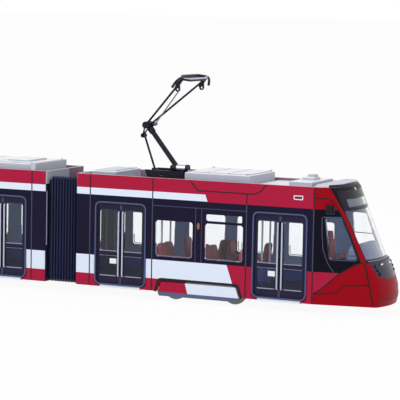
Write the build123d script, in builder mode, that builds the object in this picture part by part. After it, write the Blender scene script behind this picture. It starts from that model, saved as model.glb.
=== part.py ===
"""Four-section articulated low-floor tram, a railway model in H0 scale.

Frame: +X is the front, +Z is up, and the left side is +Y. The origin is under the
middle of the tram, at the tips of the wheel flanges. All sizes are in millimetres.
"""
import os

from build123d import *

os.makedirs("parts", exist_ok=True)

# Sections along the tram
section_pitch = 99.0
section_gap = 11.0
section_half = (section_pitch - section_gap) / 2
section_numbers = (1, 2, 3, 4)
front_number = section_numbers[0]
rear_number = section_numbers[-1]
train_middle = (front_number + rear_number) / 2

# Heights above the flange tips
sill_z = 3.05
deck_z = 35.2
parapet_z = 39.2

# Body shell
body_width = 26.4
half_width = body_width / 2
wall = 1.0
deck_thickness = 1.0
end_corner_radius = 0.9
inner_half = half_width - wall
overrun = 2.0

# Gangway through the end walls
gangway_half_width = 8.0
gangway_bottom_z = 4.15
gangway_top_z = 31.5
gangway_corner_radius = 1.5

# Doors, all on the right-hand side
door_centre = 27.62
door_width = 18.45
door_bottom_z = 3.66
door_top_z = 30.7
door_corner_radius = 1.3
door_frame_band = 0.85
door_frame_proud = 0.15
door_leaf_recess = 0.3
door_pane_inner = 1.2
door_pane_outer = 7.5
door_upper_pane_bottom_z = 14.6
door_upper_pane_top_z = 27.8
door_lower_pane_bottom_z = 6.7
door_lower_pane_top_z = 13.4
door_pane_corner_radius = 0.5
door_meeting_gap = 0.3
door_handle_offset = 0.7
door_handle_width = 0.36
door_handle_depth = 0.3

# Side windows
window_centre = 8.65
window_width = 13.0
window_bottom_z = 14.2
window_top_z = 25.8
window_corner_radius = 0.9
hopper_width = 12.3
hopper_bottom_z = 26.5
hopper_top_z = 28.7
hopper_corner_radius = 0.4
door_side_window_centre = 28.1
door_side_window_width = 15.6
pane_clearance = 0.03
pane_recess = 0.12
pane_thickness = 0.7

# Cab, from its seam forward
cab_start = 38.8
cab_length = 22.0
cab_bulge_radius = 22.0
cab_taper_share = 0.193
cab_corner_radius = 1.6
cab_wall = 1.0
cab_roof_thickness = 1.0
bulkhead_thickness = 1.0
# height above the sill as a share of the wall height, reach as a share of the cab length
cab_profile_shares = (
    (0.000, 0.974),
    (0.075, 1.000),
    (0.155, 0.987),
    (0.230, 0.949),
    (0.297, 0.908),
    (0.375, 0.846),
    (0.391, 0.797),
    (0.845, 0.479),
    (0.900, 0.441),
    (0.977, 0.389),
    (1.000, 0.358),
)

# Cab roof cap
cap_height = 0.9
cap_inset = 0.4
cap_edge_radius = 0.8

# Windscreen, cut through the cab front
screen_bottom_z = 17.2
screen_top_z = 38.2
screen_bottom_half_width = 9.0
screen_top_half_width = 10.9
cab_window_bottom_z = 17.3
cab_window_top_z = 29.8
cab_window_rear_bottom = 43.85
cab_window_rear_top = 42.3
cab_window_front_bottom = 52.3
cab_window_front_top = 47.3
cab_window_corner_radius = 0.7

# Lamp panel across the nose
lamp_panel_top_z = 16.6
lamp_panel_half_width = 8.9
lamp_panel_bottom_z = 11.4
lamp_radius = 0.55
lamp_proud = 0.2
lamp_lens_radius = 0.4
lamp_lens_depth = 0.15
strip_lamp_width = 2.2
strip_lamp_height = 0.6
# half width as a share of the widest, height as a share of the panel's depth from the top
lamp_panel_outline_shares = (
    (1.00, 0.00),
    (1.00, 0.33),
    (0.88, 0.72),
    (0.66, 0.96),
    (0.43, 1.00),
)
# sideways as a share of the panel's half width, height as a share of its depth, from the top
round_lamp_shares = (
    (0.83, 0.21),
    (0.79, 0.44),
    (0.72, 0.68),
)
strip_lamp_shares = ((0.40, 0.16),)

# Camera pods beside the cab
camera_x = 43.7
camera_length = 2.2
camera_bottom_z = 31.6
camera_height = 2.3
camera_reach = 0.9

# Floor plate and what hangs under it
floor_bottom_z = 5.3
floor_thickness = 0.8
floor_top_z = floor_bottom_z + floor_thickness
floor_end_clearance = 0.3
cab_floor_end = 55.0
cab_floor_end_half_width = 8.4
underbox_start = 16.8
underbox_end = 41.5
underbox_half_width = 10.0
underbox_bottom_z = 3.2
underbox_edge_radius = 0.5

# Articulation: a pin on the section behind stands in an eye of the section ahead
pin_radius = 1.2
pin_clearance = 0.05
eye_radius = 4.4
pin_plate_radius = 3.0
pin_plate_thickness = 0.8
pin_plate_gap = 0.1
pin_top_overlap = 0.2

# Bogies
wheelbase = 20.7
axle_radius = 0.6
axle_clearance = 0.05
flange_radius = 4.35
tread_radius = 3.45
back_to_back = 14.4
flange_width = 0.8
wheel_width = 2.8
wheel_dish_depth = 0.5
wheel_hub_radius = 1.3
wheel_rim_radius = 2.7
axle_end = 0.2
bogie_beam_half_length = 12.5
bogie_beam_inner = 5.1
bogie_beam_width = 1.5
bogie_beam_bottom_z = 3.1
bogie_beam_waist_z = 3.9
bogie_beam_box_half = 1.4
bogie_beam_slope = 0.7
bogie_top_gap = 0.15
bogie_cross_half_length = 3.8
bogie_cross_bottom_z = 2.5
bogie_cross_top_z = 4.6
bogie_pivot_radius = 1.5
bogie_pivot_clearance = 0.06
bogie_seat_radius = 2.8
magnet_half_length = 4.6
magnet_width = 1.3
magnet_height = 1.2
magnet_clearance_z = 1.3
magnet_hanger_half_length = 1.1
magnet_hanger_top_z = 4.2

# Wheel housings in the saloon
housing_half_length = 16.2
housing_wall = 0.6
housing_inner_y = 5.0
housing_top_z = 9.9

# Bogie covers in the body side
cover_top_half = 12.9
cover_waist_half = 14.1
cover_bottom_half = 13.65
cover_top_z = 6.2
cover_waist_z = 2.9
cover_bottom_z = 1.66
cover_gap = 0.4
cover_lip_half = 11.8
cover_lip_bottom_z = 5.4
cover_lip_top_z = 7.3
cover_lip_thickness = 0.6

# Seats: a place for each row, with the way its back faces
seat_back_height = 8.2
seat_back_thickness = 1.0
seat_depth = 4.6
seat_height = 3.6
seat_cushion_thickness = 1.1
seat_pedestal_depth = 1.6
seat_width = 4.4
seat_side_gap = 0.4
seat_corner_radius = 1.3
seat_lean = 0.7
seat_wall_gap = 0.3
seat_end_row_x = 15.0
seat_middle_row_x = 0.75
pole_radius = 0.3
pole_x = 17.6
pole_y = 3.2

# Cab fittings
desk_back_x = 47.8
desk_hood_x = 48.7
desk_crest_x = 51.0
desk_front_x = 55.6
desk_half_width = 8.2
desk_edge_radius = 2.4
desk_back_z = 14.2
desk_hood_z = 20.9
desk_crest_z = 21.7
desk_front_z = 17.6
desk_gap = 0.5
driver_seat_x = 42.6
driver_seat_half_width = 2.6
sign_box_half_width = 8.2
sign_box_bottom_z = 32.2
sign_box_height = 3.4
sign_box_depth = 2.4
sign_box_gap = 0.3

# Roof units, each by its middle, half length, half width and height above the deck
roof_unit_edge_radius = 0.45
short_unit_height = 4.8
short_unit_half_length = 4.35
short_unit_half_width = 8.9
short_unit_x = -36.15
long_unit_height = 6.1
long_unit_half_length = 11.2
long_unit_half_width = 10.2
long_unit_x = 4.6
front_unit_height = 5.1
front_unit_half_length = 3.75
front_unit_half_width = 9.0
front_unit_x = 32.4
hatch_height = 0.9
hatch_half_length = 2.0
hatch_half_width = 2.6
middle_unit_height = 5.9
middle_unit_half_length = 22.0
middle_unit_half_width = 10.8
middle_unit_x = 16.0
middle_unit_lid_half_length = 4.0
middle_unit_lid_half_width = 6.0
middle_unit_lid_x = 29.5
deck_foot_overlap = 0.2
panel_height = 0.25
panel_inset = 0.7
panel_gap = 0.5
panel_length = 7.0
louvre_count = 5
louvre_width = 0.35
louvre_depth = 0.3
louvre_half_length_share = 0.75
lifting_eye_radius = 0.45
lifting_eye_height = 0.5

# Bellows
bellows_half_width = 12.3
bellows_bottom_z = 3.15
bellows_top_z = 37.6
bellows_rib_count = 10
bellows_rib_depth = 0.5
bellows_wall = 0.5
bellows_corner = 1.4
bellows_end_gap = 0.02

# Pantograph, by its pivots on the front section
panto_foot_x = -13.8
panto_foot_z = 41.3
panto_knee_x = -24.9
panto_knee_z = 55.0
panto_tail_x = -26.6
panto_tail_z = 51.5
panto_rod_x = -22.6
panto_rod_z = 40.4
panto_head_x = -10.3
panto_head_z = 68.8
panto_strip_x = -8.6
panto_strip_top_z = 71.2
head_pitch = 22
base_rear_x = -23.4
base_front_x = -9.6
base_half_width = 5.0
base_bar_width = 1.0
base_bar_bottom_z = 38.0
base_bar_height = 1.0
base_side_top_z = 40.9
base_rear_slant = 1.2
base_slot_x = -17.5
base_slot_length = 1.8
base_slot_height = 0.5
insulator_radius = 0.85
insulator_inset = 2.6
insulator_shed_radius = 1.15
insulator_shed_count = 3
bracket_half_length = 1.0
bracket_thickness = 0.7
bracket_gap = 0.1
foot_hub_radius = 1.0
foot_hub_half_width = 1.5
foot_pin_radius = 0.5
panto_fit = 0.05
lower_arm_radius = 0.8
sleeve_radius = 1.05
sleeve_length = 3.0
knee_hub_radius = 1.15
knee_hub_half_width = 1.2
knee_cheek_thickness = 0.7
knee_cheek_gap = 0.1
upper_strut_radius = 0.34
upper_strut_knee_y = 1.65
upper_strut_head_y = 8.3
tail_strut_radius = 0.26
tail_strut_start_share = 0.25
tail_ring_radius = 0.75
tail_ring_hole_radius = 0.33
tail_ring_half_width = 0.35
head_pin_radius = 0.3
rod_radius = 0.34
rod_y = 1.15
rod_eye_radius = 0.7
rod_eye_half_width = 0.35
rod_pin_radius = 0.35
guide_radius = 0.2
guide_foot_x = -22.0
guide_foot_z = 55.4
guide_head_x = -10.15
guide_head_z = 67.3
guide_foot_y = -0.6
guide_head_y = -7.3
guide_eye_radius = 0.5
guide_eye_half_width = 0.25
guide_pin_radius = 0.25
guide_lug_half_width = 0.3
guide_lug_radius = 0.55
cheek_y = 8.8
cheek_thickness = 0.5
cheek_ring_radius = 0.8
cheek_ring_hole_radius = 0.35
cheek_shoulder = 0.9
strip_width = 0.8
strip_height = 0.9
strip_spacing = 2.6
strip_bend_y = 6.0
horn_root_y = 9.6
horn_bend_radius = 4.4
horn_bend_angle = 72
horn_radius = 0.42
drive_radius = 0.85
drive_y = -3.4
drive_z = 41.85
drive_rear_x = -14.7
drive_front_x = -11.6
drive_cap_radius = 1.0
drive_cap_length = 1.3
drive_bracket_x = -9.4
drive_bracket_width = 1.2
drive_spindle_radius = 0.4


def section_middle(number):
    """How far ahead of the origin a section's bogie stands."""
    return (train_middle - number) * section_pitch


def side_plane(x, y):
    """A side elevation: its own x runs forward, its own y runs up, it faces right."""
    return Plane(origin=(x, y, 0), x_dir=(1, 0, 0), z_dir=(0, -1, 0))


def cross_plane(x):
    """A cross section: its own x runs to the left side, its own y runs up."""
    return Plane(origin=(x, 0, 0), x_dir=(0, 1, 0), z_dir=(1, 0, 0))


def level_plane(x, z):
    """A plan view at height z, centred on x."""
    return Plane(origin=(x, 0, z), x_dir=(1, 0, 0), z_dir=(0, 0, 1))


def cab_reach(z):
    """How far ahead of its seam the cab's front reaches at height z, on the middle line."""
    height_share = (z - sill_z) / (parapet_z - sill_z)
    for low, high in zip(cab_profile_shares, cab_profile_shares[1:]):
        if height_share <= high[0]:
            way = (height_share - low[0]) / (high[0] - low[0])
            return (low[1] + way * (high[1] - low[1])) * cab_length
    return cab_profile_shares[-1][1] * cab_length


def cab_outline(z, reach, middle, facing, inset):
    """One level plan section of a cab, drawn smaller all round by the inset."""
    arc_x = cab_start + reach - inset
    side_start = half_width - inset
    corner_y = side_start - cab_taper_share * (arc_x - cab_start)
    corner_x = arc_x - corner_y ** 2 / (2 * cab_bulge_radius)
    corner_y = side_start - cab_taper_share * (corner_x - cab_start)
    with BuildSketch(Plane.XY.offset(z)) as outline:
        with BuildLine():
            Line((middle + facing * cab_start, -side_start), (middle + facing * corner_x, -corner_y))
            ThreePointArc(
                (middle + facing * corner_x, -corner_y),
                (middle + facing * arc_x, 0),
                (middle + facing * corner_x, corner_y),
            )
            Line((middle + facing * corner_x, corner_y), (middle + facing * cab_start, side_start))
            Line((middle + facing * cab_start, side_start), (middle + facing * cab_start, -side_start))
        make_face()
        nose_corners = outline.vertices().sort_by(Axis.X)
        nose_corners = nose_corners[-2:] if facing > 0 else nose_corners[:2]
        fillet(nose_corners, cab_corner_radius)
    return outline.sketch


def cab_solid(middle, facing, inset, top_drop):
    """The whole cab as one solid, smaller all round by the inset."""
    top_z = parapet_z - top_drop
    heights = [sill_z + share * (parapet_z - sill_z) for share, reach_share in cab_profile_shares]
    heights = [z for z in heights if z < top_z] + [top_z]
    sections = [cab_outline(z, cab_reach(z), middle, facing, inset) for z in heights]
    with BuildPart() as cab:
        loft(sections, ruled=True)
    return cab.part


def screen_volume(middle, facing):
    """The windscreen's outline from the front, run through the cab front."""
    with BuildPart() as volume:
        with BuildSketch(cross_plane(middle + facing * cab_start)):
            with BuildLine():
                Polyline(
                    (-screen_bottom_half_width, screen_bottom_z),
                    (screen_bottom_half_width, screen_bottom_z),
                    (screen_top_half_width, screen_top_z),
                    (-screen_top_half_width, screen_top_z),
                    close=True,
                )
            make_face()
        extrude(amount=facing * cab_length)
    return volume.part


def lamp_panel_volume(middle, facing):
    """The lamp panel's outline from the front, run through the nose."""
    depth = lamp_panel_top_z - lamp_panel_bottom_z
    left_edge = [
        (width_share * lamp_panel_half_width, lamp_panel_top_z - down_share * depth)
        for width_share, down_share in lamp_panel_outline_shares
    ]
    right_edge = [(-y, z) for y, z in reversed(left_edge)]
    with BuildPart() as volume:
        with BuildSketch(cross_plane(middle + facing * cab_start)):
            with BuildLine():
                Polyline(*left_edge, *right_edge, close=True)
            make_face()
        extrude(amount=facing * (cab_length + overrun))
    return volume.part


def cab_window_volume(middle, facing, side):
    """The cab side window's outline, run through one side wall."""
    reach = half_width - cab_floor_end_half_width
    with BuildPart() as volume:
        with BuildSketch(side_plane(middle, side * cab_floor_end_half_width)):
            with BuildLine():
                Polyline(
                    (facing * cab_window_rear_bottom, cab_window_bottom_z),
                    (facing * cab_window_front_bottom, cab_window_bottom_z),
                    (facing * cab_window_front_top, cab_window_top_z),
                    (facing * cab_window_rear_top, cab_window_top_z),
                    close=True,
                )
            window = make_face()
            fillet(window.vertices(), cab_window_corner_radius)
        extrude(amount=-side * (reach + overrun))
    return volume.part


def side_openings(number):
    """Openings in a section's sides: side, centre, width, bottom, top and corner radius."""
    right, left = -1, 1
    windows = [
        (right, -window_centre, window_width, window_bottom_z, window_top_z, window_corner_radius),
        (right, window_centre, window_width, window_bottom_z, window_top_z, window_corner_radius),
        (right, window_centre, hopper_width, hopper_bottom_z, hopper_top_z, hopper_corner_radius),
        (left, -window_centre, window_width, window_bottom_z, window_top_z, window_corner_radius),
        (left, window_centre, window_width, window_bottom_z, window_top_z, window_corner_radius),
    ]
    for end in (-1, 1):
        windows.append(
            (
                left,
                end * door_side_window_centre,
                door_side_window_width,
                window_bottom_z,
                window_top_z,
                window_corner_radius,
            )
        )
    return windows


def door_panes():
    """Panes of one door, from its centre line: centre, width, bottom and top."""
    middle = (door_pane_inner + door_pane_outer) / 2
    width = door_pane_outer - door_pane_inner
    panes = []
    for leaf in (-1, 1):
        panes.append((leaf * middle, width, door_upper_pane_bottom_z, door_upper_pane_top_z))
        panes.append((leaf * middle, width, door_lower_pane_bottom_z, door_lower_pane_top_z))
    return panes


def facing_of(number):
    """+1 for the section with the cab in front, -1 for the one with the tail behind."""
    if number == front_number:
        return 1
    if number == rear_number:
        return -1
    return 0


def tube_between(start, end, radius):
    """A round bar between two points."""
    path = Vector(*end) - Vector(*start)
    with BuildPart() as bar:
        with BuildSketch(Plane(origin=start, z_dir=path)):
            Circle(radius)
        extrude(amount=path.length)
    return bar.part


def section_ends(number):
    """Where the straight part of a section's shell starts and ends, from its middle."""
    facing = facing_of(number)
    rear = -cab_start if facing < 0 else -section_half
    front = cab_start if facing > 0 else section_half
    return rear, front


# Body shells
cover_openings = (
    (-(cover_top_half + cover_gap), cover_top_z + cover_gap),
    (cover_top_half + cover_gap, cover_top_z + cover_gap),
    (cover_waist_half + cover_gap, sill_z),
    (cover_waist_half + cover_gap, sill_z - overrun),
    (-(cover_waist_half + cover_gap), sill_z - overrun),
    (-(cover_waist_half + cover_gap), sill_z),
)
for number in section_numbers:
    middle = section_middle(number)
    facing = facing_of(number)
    rear, front = section_ends(number)
    inner_rear = rear + wall if facing >= 0 else rear
    inner_front = front - wall if facing <= 0 else front
    trough_rear = rear + wall if facing >= 0 else rear + bulkhead_thickness
    trough_front = front - wall if facing <= 0 else front - bulkhead_thickness
    with BuildPart() as shell:
        with BuildSketch(level_plane(middle + (rear + front) / 2, sill_z)):
            Rectangle(front - rear, body_width)
        extrude(amount=parapet_z - sill_z)
        for end, is_gangway in ((rear, facing >= 0), (front, facing <= 0)):
            if is_gangway:
                corners = shell.edges().filter_by(Axis.Z).filter_by_position(
                    Axis.X, middle + end - wall / 2, middle + end + wall / 2
                )
                fillet(corners, end_corner_radius)
        if facing:
            add(cab_solid(middle, facing, 0, 0))
        with BuildSketch(level_plane(middle + (inner_rear + inner_front) / 2, sill_z)):
            Rectangle(inner_front - inner_rear, 2 * inner_half)
        extrude(amount=deck_z - deck_thickness - sill_z, mode=Mode.SUBTRACT)
        with BuildSketch(level_plane(middle + (trough_rear + trough_front) / 2, deck_z - deck_thickness)):
            Rectangle(trough_front - trough_rear, 2 * inner_half)
        extrude(amount=parapet_z - deck_z + deck_thickness, mode=Mode.SUBTRACT)
        if facing:
            add(cab_solid(middle, facing, cab_wall, cab_roof_thickness), mode=Mode.SUBTRACT)
            add(screen_volume(middle, facing), mode=Mode.SUBTRACT)
            add(lamp_panel_volume(middle, facing), mode=Mode.SUBTRACT)
            for side in (-1, 1):
                add(cab_window_volume(middle, facing, side), mode=Mode.SUBTRACT)
        for end, is_gangway in ((rear, facing >= 0), (front, facing <= 0)):
            if is_gangway:
                with BuildSketch(cross_plane(middle + end - wall)):
                    with Locations((0, (gangway_bottom_z + gangway_top_z) / 2)):
                        RectangleRounded(
                            2 * gangway_half_width,
                            gangway_top_z - gangway_bottom_z,
                            gangway_corner_radius,
                        )
                extrude(amount=2 * wall, mode=Mode.SUBTRACT)
        for side, centre, width, bottom, top, radius in side_openings(number):
            with BuildSketch(side_plane(middle, side * half_width)):
                with Locations((centre, (bottom + top) / 2)):
                    RectangleRounded(width, top - bottom, radius)
            extrude(amount=side * wall, mode=Mode.SUBTRACT)
        with BuildSketch(side_plane(middle, -half_width)):
            with Locations(*((end * door_centre, (door_bottom_z + door_top_z) / 2) for end in (-1, 1))):
                RectangleRounded(door_width, door_top_z - door_bottom_z, door_corner_radius)
        extrude(amount=-wall, mode=Mode.SUBTRACT)
        with BuildSketch(side_plane(middle, -half_width)):
            with BuildLine():
                Polyline(*cover_openings, close=True)
            make_face()
        extrude(amount=-body_width, mode=Mode.SUBTRACT)
    name = f"shell_{number}"
    shell.part.label = name
    export_step(shell.part, f"parts/{name}.step")

# Doors: frame, two leaves and their grab bars in one moulding for each doorway
for number in section_numbers:
    middle = section_middle(number)
    with BuildPart() as doors:
        for end in (-1, 1):
            centre = end * door_centre
            door_middle_z = (door_bottom_z + door_top_z) / 2
            door_height = door_top_z - door_bottom_z
            with BuildSketch(side_plane(middle, -half_width - door_frame_proud)):
                with Locations((centre, door_middle_z)):
                    RectangleRounded(door_width, door_height, door_corner_radius)
            extrude(amount=-(wall + door_frame_proud))
            with BuildSketch(side_plane(middle, -half_width - door_frame_proud)):
                with Locations((centre, door_middle_z)):
                    RectangleRounded(
                        door_width - 2 * door_frame_band,
                        door_height - 2 * door_frame_band,
                        door_corner_radius - door_frame_band / 2,
                    )
            extrude(amount=-(door_frame_proud + door_leaf_recess), mode=Mode.SUBTRACT)
            for offset, width, bottom, top in door_panes():
                with BuildSketch(side_plane(middle, -half_width)):
                    with Locations((centre + offset, (bottom + top) / 2)):
                        RectangleRounded(width, top - bottom, door_pane_corner_radius)
                extrude(amount=-wall, mode=Mode.SUBTRACT)
            with BuildSketch(side_plane(middle, -half_width)):
                with Locations((centre, door_middle_z)):
                    Rectangle(door_meeting_gap, door_height - 2 * door_frame_band)
            extrude(amount=-2 * door_leaf_recess, mode=Mode.SUBTRACT)
            bar_height = door_upper_pane_top_z - door_lower_pane_bottom_z
            bar_middle_z = (door_upper_pane_top_z + door_lower_pane_bottom_z) / 2
            with BuildSketch(side_plane(middle, -half_width + door_leaf_recess)):
                with Locations(
                    (centre - door_handle_offset, bar_middle_z),
                    (centre + door_handle_offset, bar_middle_z),
                ):
                    Rectangle(door_handle_width, bar_height)
            extrude(amount=door_handle_depth)
    name = f"doors_{number}"
    doors.part.label = name
    export_step(doors.part, f"parts/{name}.step")

# Glazing: one pane for each window and each door pane
for number in section_numbers:
    middle = section_middle(number)
    facing = facing_of(number)
    with BuildPart() as glazing:
        for side, centre, width, bottom, top, radius in side_openings(number):
            with BuildSketch(side_plane(middle, side * (half_width - pane_recess))):
                with Locations((centre, (bottom + top) / 2)):
                    RectangleRounded(
                        width - 2 * pane_clearance, top - bottom - 2 * pane_clearance, radius - pane_clearance
                    )
            extrude(amount=side * pane_thickness)
        for end in (-1, 1):
            for offset, width, bottom, top in door_panes():
                with BuildSketch(side_plane(middle, -half_width + door_leaf_recess + pane_recess)):
                    with Locations((end * door_centre + offset, (bottom + top) / 2)):
                        RectangleRounded(
                            width - 2 * pane_clearance,
                            top - bottom - 2 * pane_clearance,
                            door_pane_corner_radius - pane_clearance,
                        )
                extrude(amount=-(wall - door_leaf_recess - pane_recess))
        if facing:
            for side in (-1, 1):
                outer = cab_solid(middle, facing, pane_recess, cab_roof_thickness)
                inner = cab_solid(middle, facing, cab_wall, 2 * cab_roof_thickness)
                add((outer - inner) & cab_window_volume(middle, facing, side))
    name = f"glazing_{number}"
    glazing.part.label = name
    export_step(glazing.part, f"parts/{name}.step")

# Roofs: the deck between the parapets, with the units that stand on it
roof_units = {
    1: (
        (short_unit_x, short_unit_half_length, short_unit_half_width, short_unit_height),
        (long_unit_x, long_unit_half_length, long_unit_half_width, long_unit_height),
        (front_unit_x, front_unit_half_length, front_unit_half_width, front_unit_height),
        (front_unit_x, hatch_half_length, hatch_half_width, front_unit_height + hatch_height),
    ),
    2: (
        (middle_unit_x, middle_unit_half_length, middle_unit_half_width, middle_unit_height),
        (
            middle_unit_lid_x,
            middle_unit_lid_half_length,
            middle_unit_lid_half_width,
            middle_unit_height + hatch_height,
        ),
        (short_unit_x, short_unit_half_length, short_unit_half_width, short_unit_height),
    ),
    3: (
        (-middle_unit_x, middle_unit_half_length, middle_unit_half_width, middle_unit_height),
        (
            -middle_unit_lid_x,
            middle_unit_lid_half_length,
            middle_unit_lid_half_width,
            middle_unit_height + hatch_height,
        ),
        (-short_unit_x, short_unit_half_length, short_unit_half_width, short_unit_height),
    ),
    4: (
        (-long_unit_x, long_unit_half_length, long_unit_half_width, long_unit_height),
        (-front_unit_x, front_unit_half_length, front_unit_half_width, front_unit_height),
        (-short_unit_x, short_unit_half_length, short_unit_half_width, short_unit_height),
    ),
}
for number in section_numbers:
    middle = section_middle(number)
    facing = facing_of(number)
    rear, front = section_ends(number)
    trough_rear = rear + wall if facing >= 0 else rear + bulkhead_thickness
    trough_front = front - wall if facing <= 0 else front - bulkhead_thickness
    with BuildPart() as roof:
        with BuildSketch(level_plane(middle + (trough_rear + trough_front) / 2, deck_z - deck_thickness)):
            Rectangle(trough_front - trough_rear, 2 * inner_half)
        extrude(amount=deck_thickness)
        for x, half_length, half_breadth, height in roof_units[number]:
            with BuildPart(mode=Mode.PRIVATE) as unit:
                with BuildSketch(level_plane(middle + x, deck_z - deck_foot_overlap)):
                    Rectangle(2 * half_length, 2 * half_breadth)
                extrude(amount=height + deck_foot_overlap)
                fillet(unit.faces().sort_by(Axis.Z)[-1].edges(), roof_unit_edge_radius)
            add(unit.part)
            if half_length >= short_unit_half_length:
                # Lid panels along the top
                free_length = 2 * (half_length - panel_inset)
                panel_count = max(1, round(free_length / panel_length))
                panel_pitch = free_length / panel_count
                with BuildSketch(level_plane(middle + x, deck_z + height)):
                    with GridLocations(panel_pitch, 0, panel_count, 1):
                        Rectangle(panel_pitch - panel_gap, 2 * (half_breadth - panel_inset))
                extrude(amount=panel_height)
            if half_length == short_unit_half_length:
                # Louvres across the lid
                with BuildSketch(level_plane(middle + x, deck_z + height + panel_height)):
                    with GridLocations(2 * half_length / (louvre_count + 1), 0, louvre_count, 1):
                        Rectangle(louvre_width, 2 * half_breadth * louvre_half_length_share)
                extrude(amount=-louvre_depth, mode=Mode.SUBTRACT)
            if half_length > short_unit_half_length:
                # Lifting eyes beside the lids
                eye_x = half_length - panel_inset - lifting_eye_radius
                with BuildSketch(level_plane(middle + x, deck_z + height)):
                    with Locations(
                        *((end * eye_x, side * (half_breadth - panel_inset)) for end in (-1, 1) for side in (-1, 1))
                    ):
                        Circle(lifting_eye_radius)
                extrude(amount=lifting_eye_height)
        if facing:
            outline = cab_outline(parapet_z, cab_reach(parapet_z), middle, facing, cap_inset)
            with BuildPart(mode=Mode.PRIVATE) as cap:
                extrude(outline, amount=cap_height)
                fillet(cap.faces().sort_by(Axis.Z)[-1].edges(), cap_edge_radius)
            add(cap.part)
    name = f"roof_{number}"
    roof.part.label = name
    export_step(roof.part, f"parts/{name}.step")

# Windscreens and lamp panels, each cut from the same skin as its opening
for number, place in ((front_number, "front"), (rear_number, "rear")):
    middle = section_middle(number)
    facing = facing_of(number)
    outer = cab_solid(middle, facing, 0, 0)
    inner = cab_solid(middle, facing, cab_wall, cab_roof_thickness)
    with BuildPart() as windscreen:
        add(outer - inner)
        add(screen_volume(middle, facing), mode=Mode.INTERSECT)
    name = f"windscreen_{place}"
    windscreen.part.label = name
    export_step(windscreen.part, f"parts/{name}.step")

    with BuildPart() as lamp_panel:
        add(outer - inner)
        add(lamp_panel_volume(middle, facing), mode=Mode.INTERSECT)
        lamp_panel_depth = lamp_panel_top_z - lamp_panel_bottom_z
        for side in (-1, 1):
            for across_share, down_share in round_lamp_shares + strip_lamp_shares:
                y = side * across_share * lamp_panel_half_width
                z = lamp_panel_top_z - down_share * lamp_panel_depth
                x = cab_start + cab_reach(z) - y ** 2 / (2 * cab_bulge_radius) + lamp_proud
                is_round = (across_share, down_share) in round_lamp_shares
                with BuildSketch(cross_plane(middle + facing * x)):
                    with Locations((y, z)):
                        if is_round:
                            Circle(lamp_radius)
                        else:
                            Rectangle(strip_lamp_width, strip_lamp_height)
                extrude(amount=-facing * (cab_wall + lamp_proud) / 2)
                if is_round:
                    with BuildSketch(cross_plane(middle + facing * x)):
                        with Locations((y, z)):
                            Circle(lamp_lens_radius)
                    extrude(amount=-facing * lamp_lens_depth, mode=Mode.SUBTRACT)
    name = f"lamp_panel_{place}"
    lamp_panel.part.label = name
    export_step(lamp_panel.part, f"parts/{name}.step")

    # Cab fittings: desk, seat and the sign box behind the top of the windscreen
    with BuildPart() as cab_fittings:
        with BuildSketch(side_plane(middle, -desk_half_width)):
            with BuildLine():
                Polyline(
                    (facing * desk_hood_x, desk_hood_z),
                    (facing * desk_back_x, desk_back_z),
                    (facing * desk_back_x, floor_top_z),
                    (facing * desk_front_x, floor_top_z),
                    (facing * desk_front_x, desk_front_z),
                )
                ThreePointArc(
                    (facing * desk_hood_x, desk_hood_z),
                    (facing * desk_crest_x, desk_crest_z),
                    (facing * desk_front_x, desk_front_z),
                )
            make_face()
        extrude(amount=-2 * desk_half_width)
        desk_height = desk_crest_z - floor_top_z
        with BuildSketch(cross_plane(middle + facing * desk_back_x)):
            with Locations((0, floor_top_z + desk_height / 2)):
                hood = Rectangle(2 * desk_half_width, desk_height)
            fillet(hood.vertices().group_by(Axis.Y)[-1], desk_edge_radius)
        extrude(amount=facing * (desk_front_x - desk_back_x), mode=Mode.INTERSECT)
        add(cab_solid(middle, facing, cab_wall + desk_gap, cab_roof_thickness), mode=Mode.INTERSECT)
        if facing > 0:
            with BuildSketch(side_plane(middle, -driver_seat_half_width)):
                with BuildLine():
                    Polyline(
                        (driver_seat_x, floor_top_z),
                        (driver_seat_x + seat_pedestal_depth, floor_top_z),
                        (driver_seat_x + seat_pedestal_depth, floor_top_z + seat_height),
                        (driver_seat_x + seat_depth, floor_top_z + seat_height),
                        (driver_seat_x + seat_depth, floor_top_z + seat_height + seat_cushion_thickness),
                        (
                            driver_seat_x + seat_back_thickness,
                            floor_top_z + seat_height + seat_cushion_thickness,
                        ),
                        (
                            driver_seat_x + seat_back_thickness,
                            floor_top_z + seat_height + seat_back_height,
                        ),
                        (driver_seat_x, floor_top_z + seat_height + seat_back_height),
                        close=True,
                    )
                make_face()
            extrude(amount=-2 * driver_seat_half_width)
        sign_reach = cab_reach(sign_box_bottom_z + sign_box_height) - cab_wall - sign_box_gap
        sign_front = cab_start + sign_reach - sign_box_half_width ** 2 / (2 * cab_bulge_radius)
        with BuildSketch(level_plane(middle + facing * (sign_front - sign_box_depth / 2), sign_box_bottom_z)):
            Rectangle(sign_box_depth, 2 * sign_box_half_width)
        extrude(amount=sign_box_height)
    name = f"cab_fittings_{place}"
    cab_fittings.part.label = name
    export_step(cab_fittings.part, f"parts/{name}.step")

# Camera pods, one on each side of the cab
front_middle = section_middle(front_number)
with BuildPart() as cameras:
    camera_y = half_width - cab_taper_share * (camera_x + camera_length / 2 - cab_start)
    camera_root = half_width - cab_taper_share * (camera_x - camera_length / 2 - cab_start)
    for side in (-1, 1):
        with BuildSketch(level_plane(front_middle, camera_bottom_z)):
            with BuildLine():
                Polyline(
                    (camera_x - camera_length / 2, side * camera_root),
                    (camera_x + camera_length / 2, side * camera_y),
                    (camera_x + camera_length / 2, side * (camera_root + camera_reach)),
                    (camera_x - camera_length / 2, side * (camera_root + camera_reach)),
                    close=True,
                )
            make_face()
        extrude(amount=camera_height)
cameras.part.label = "camera_pods"
export_step(cameras.part, "parts/camera_pods.step")

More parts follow.
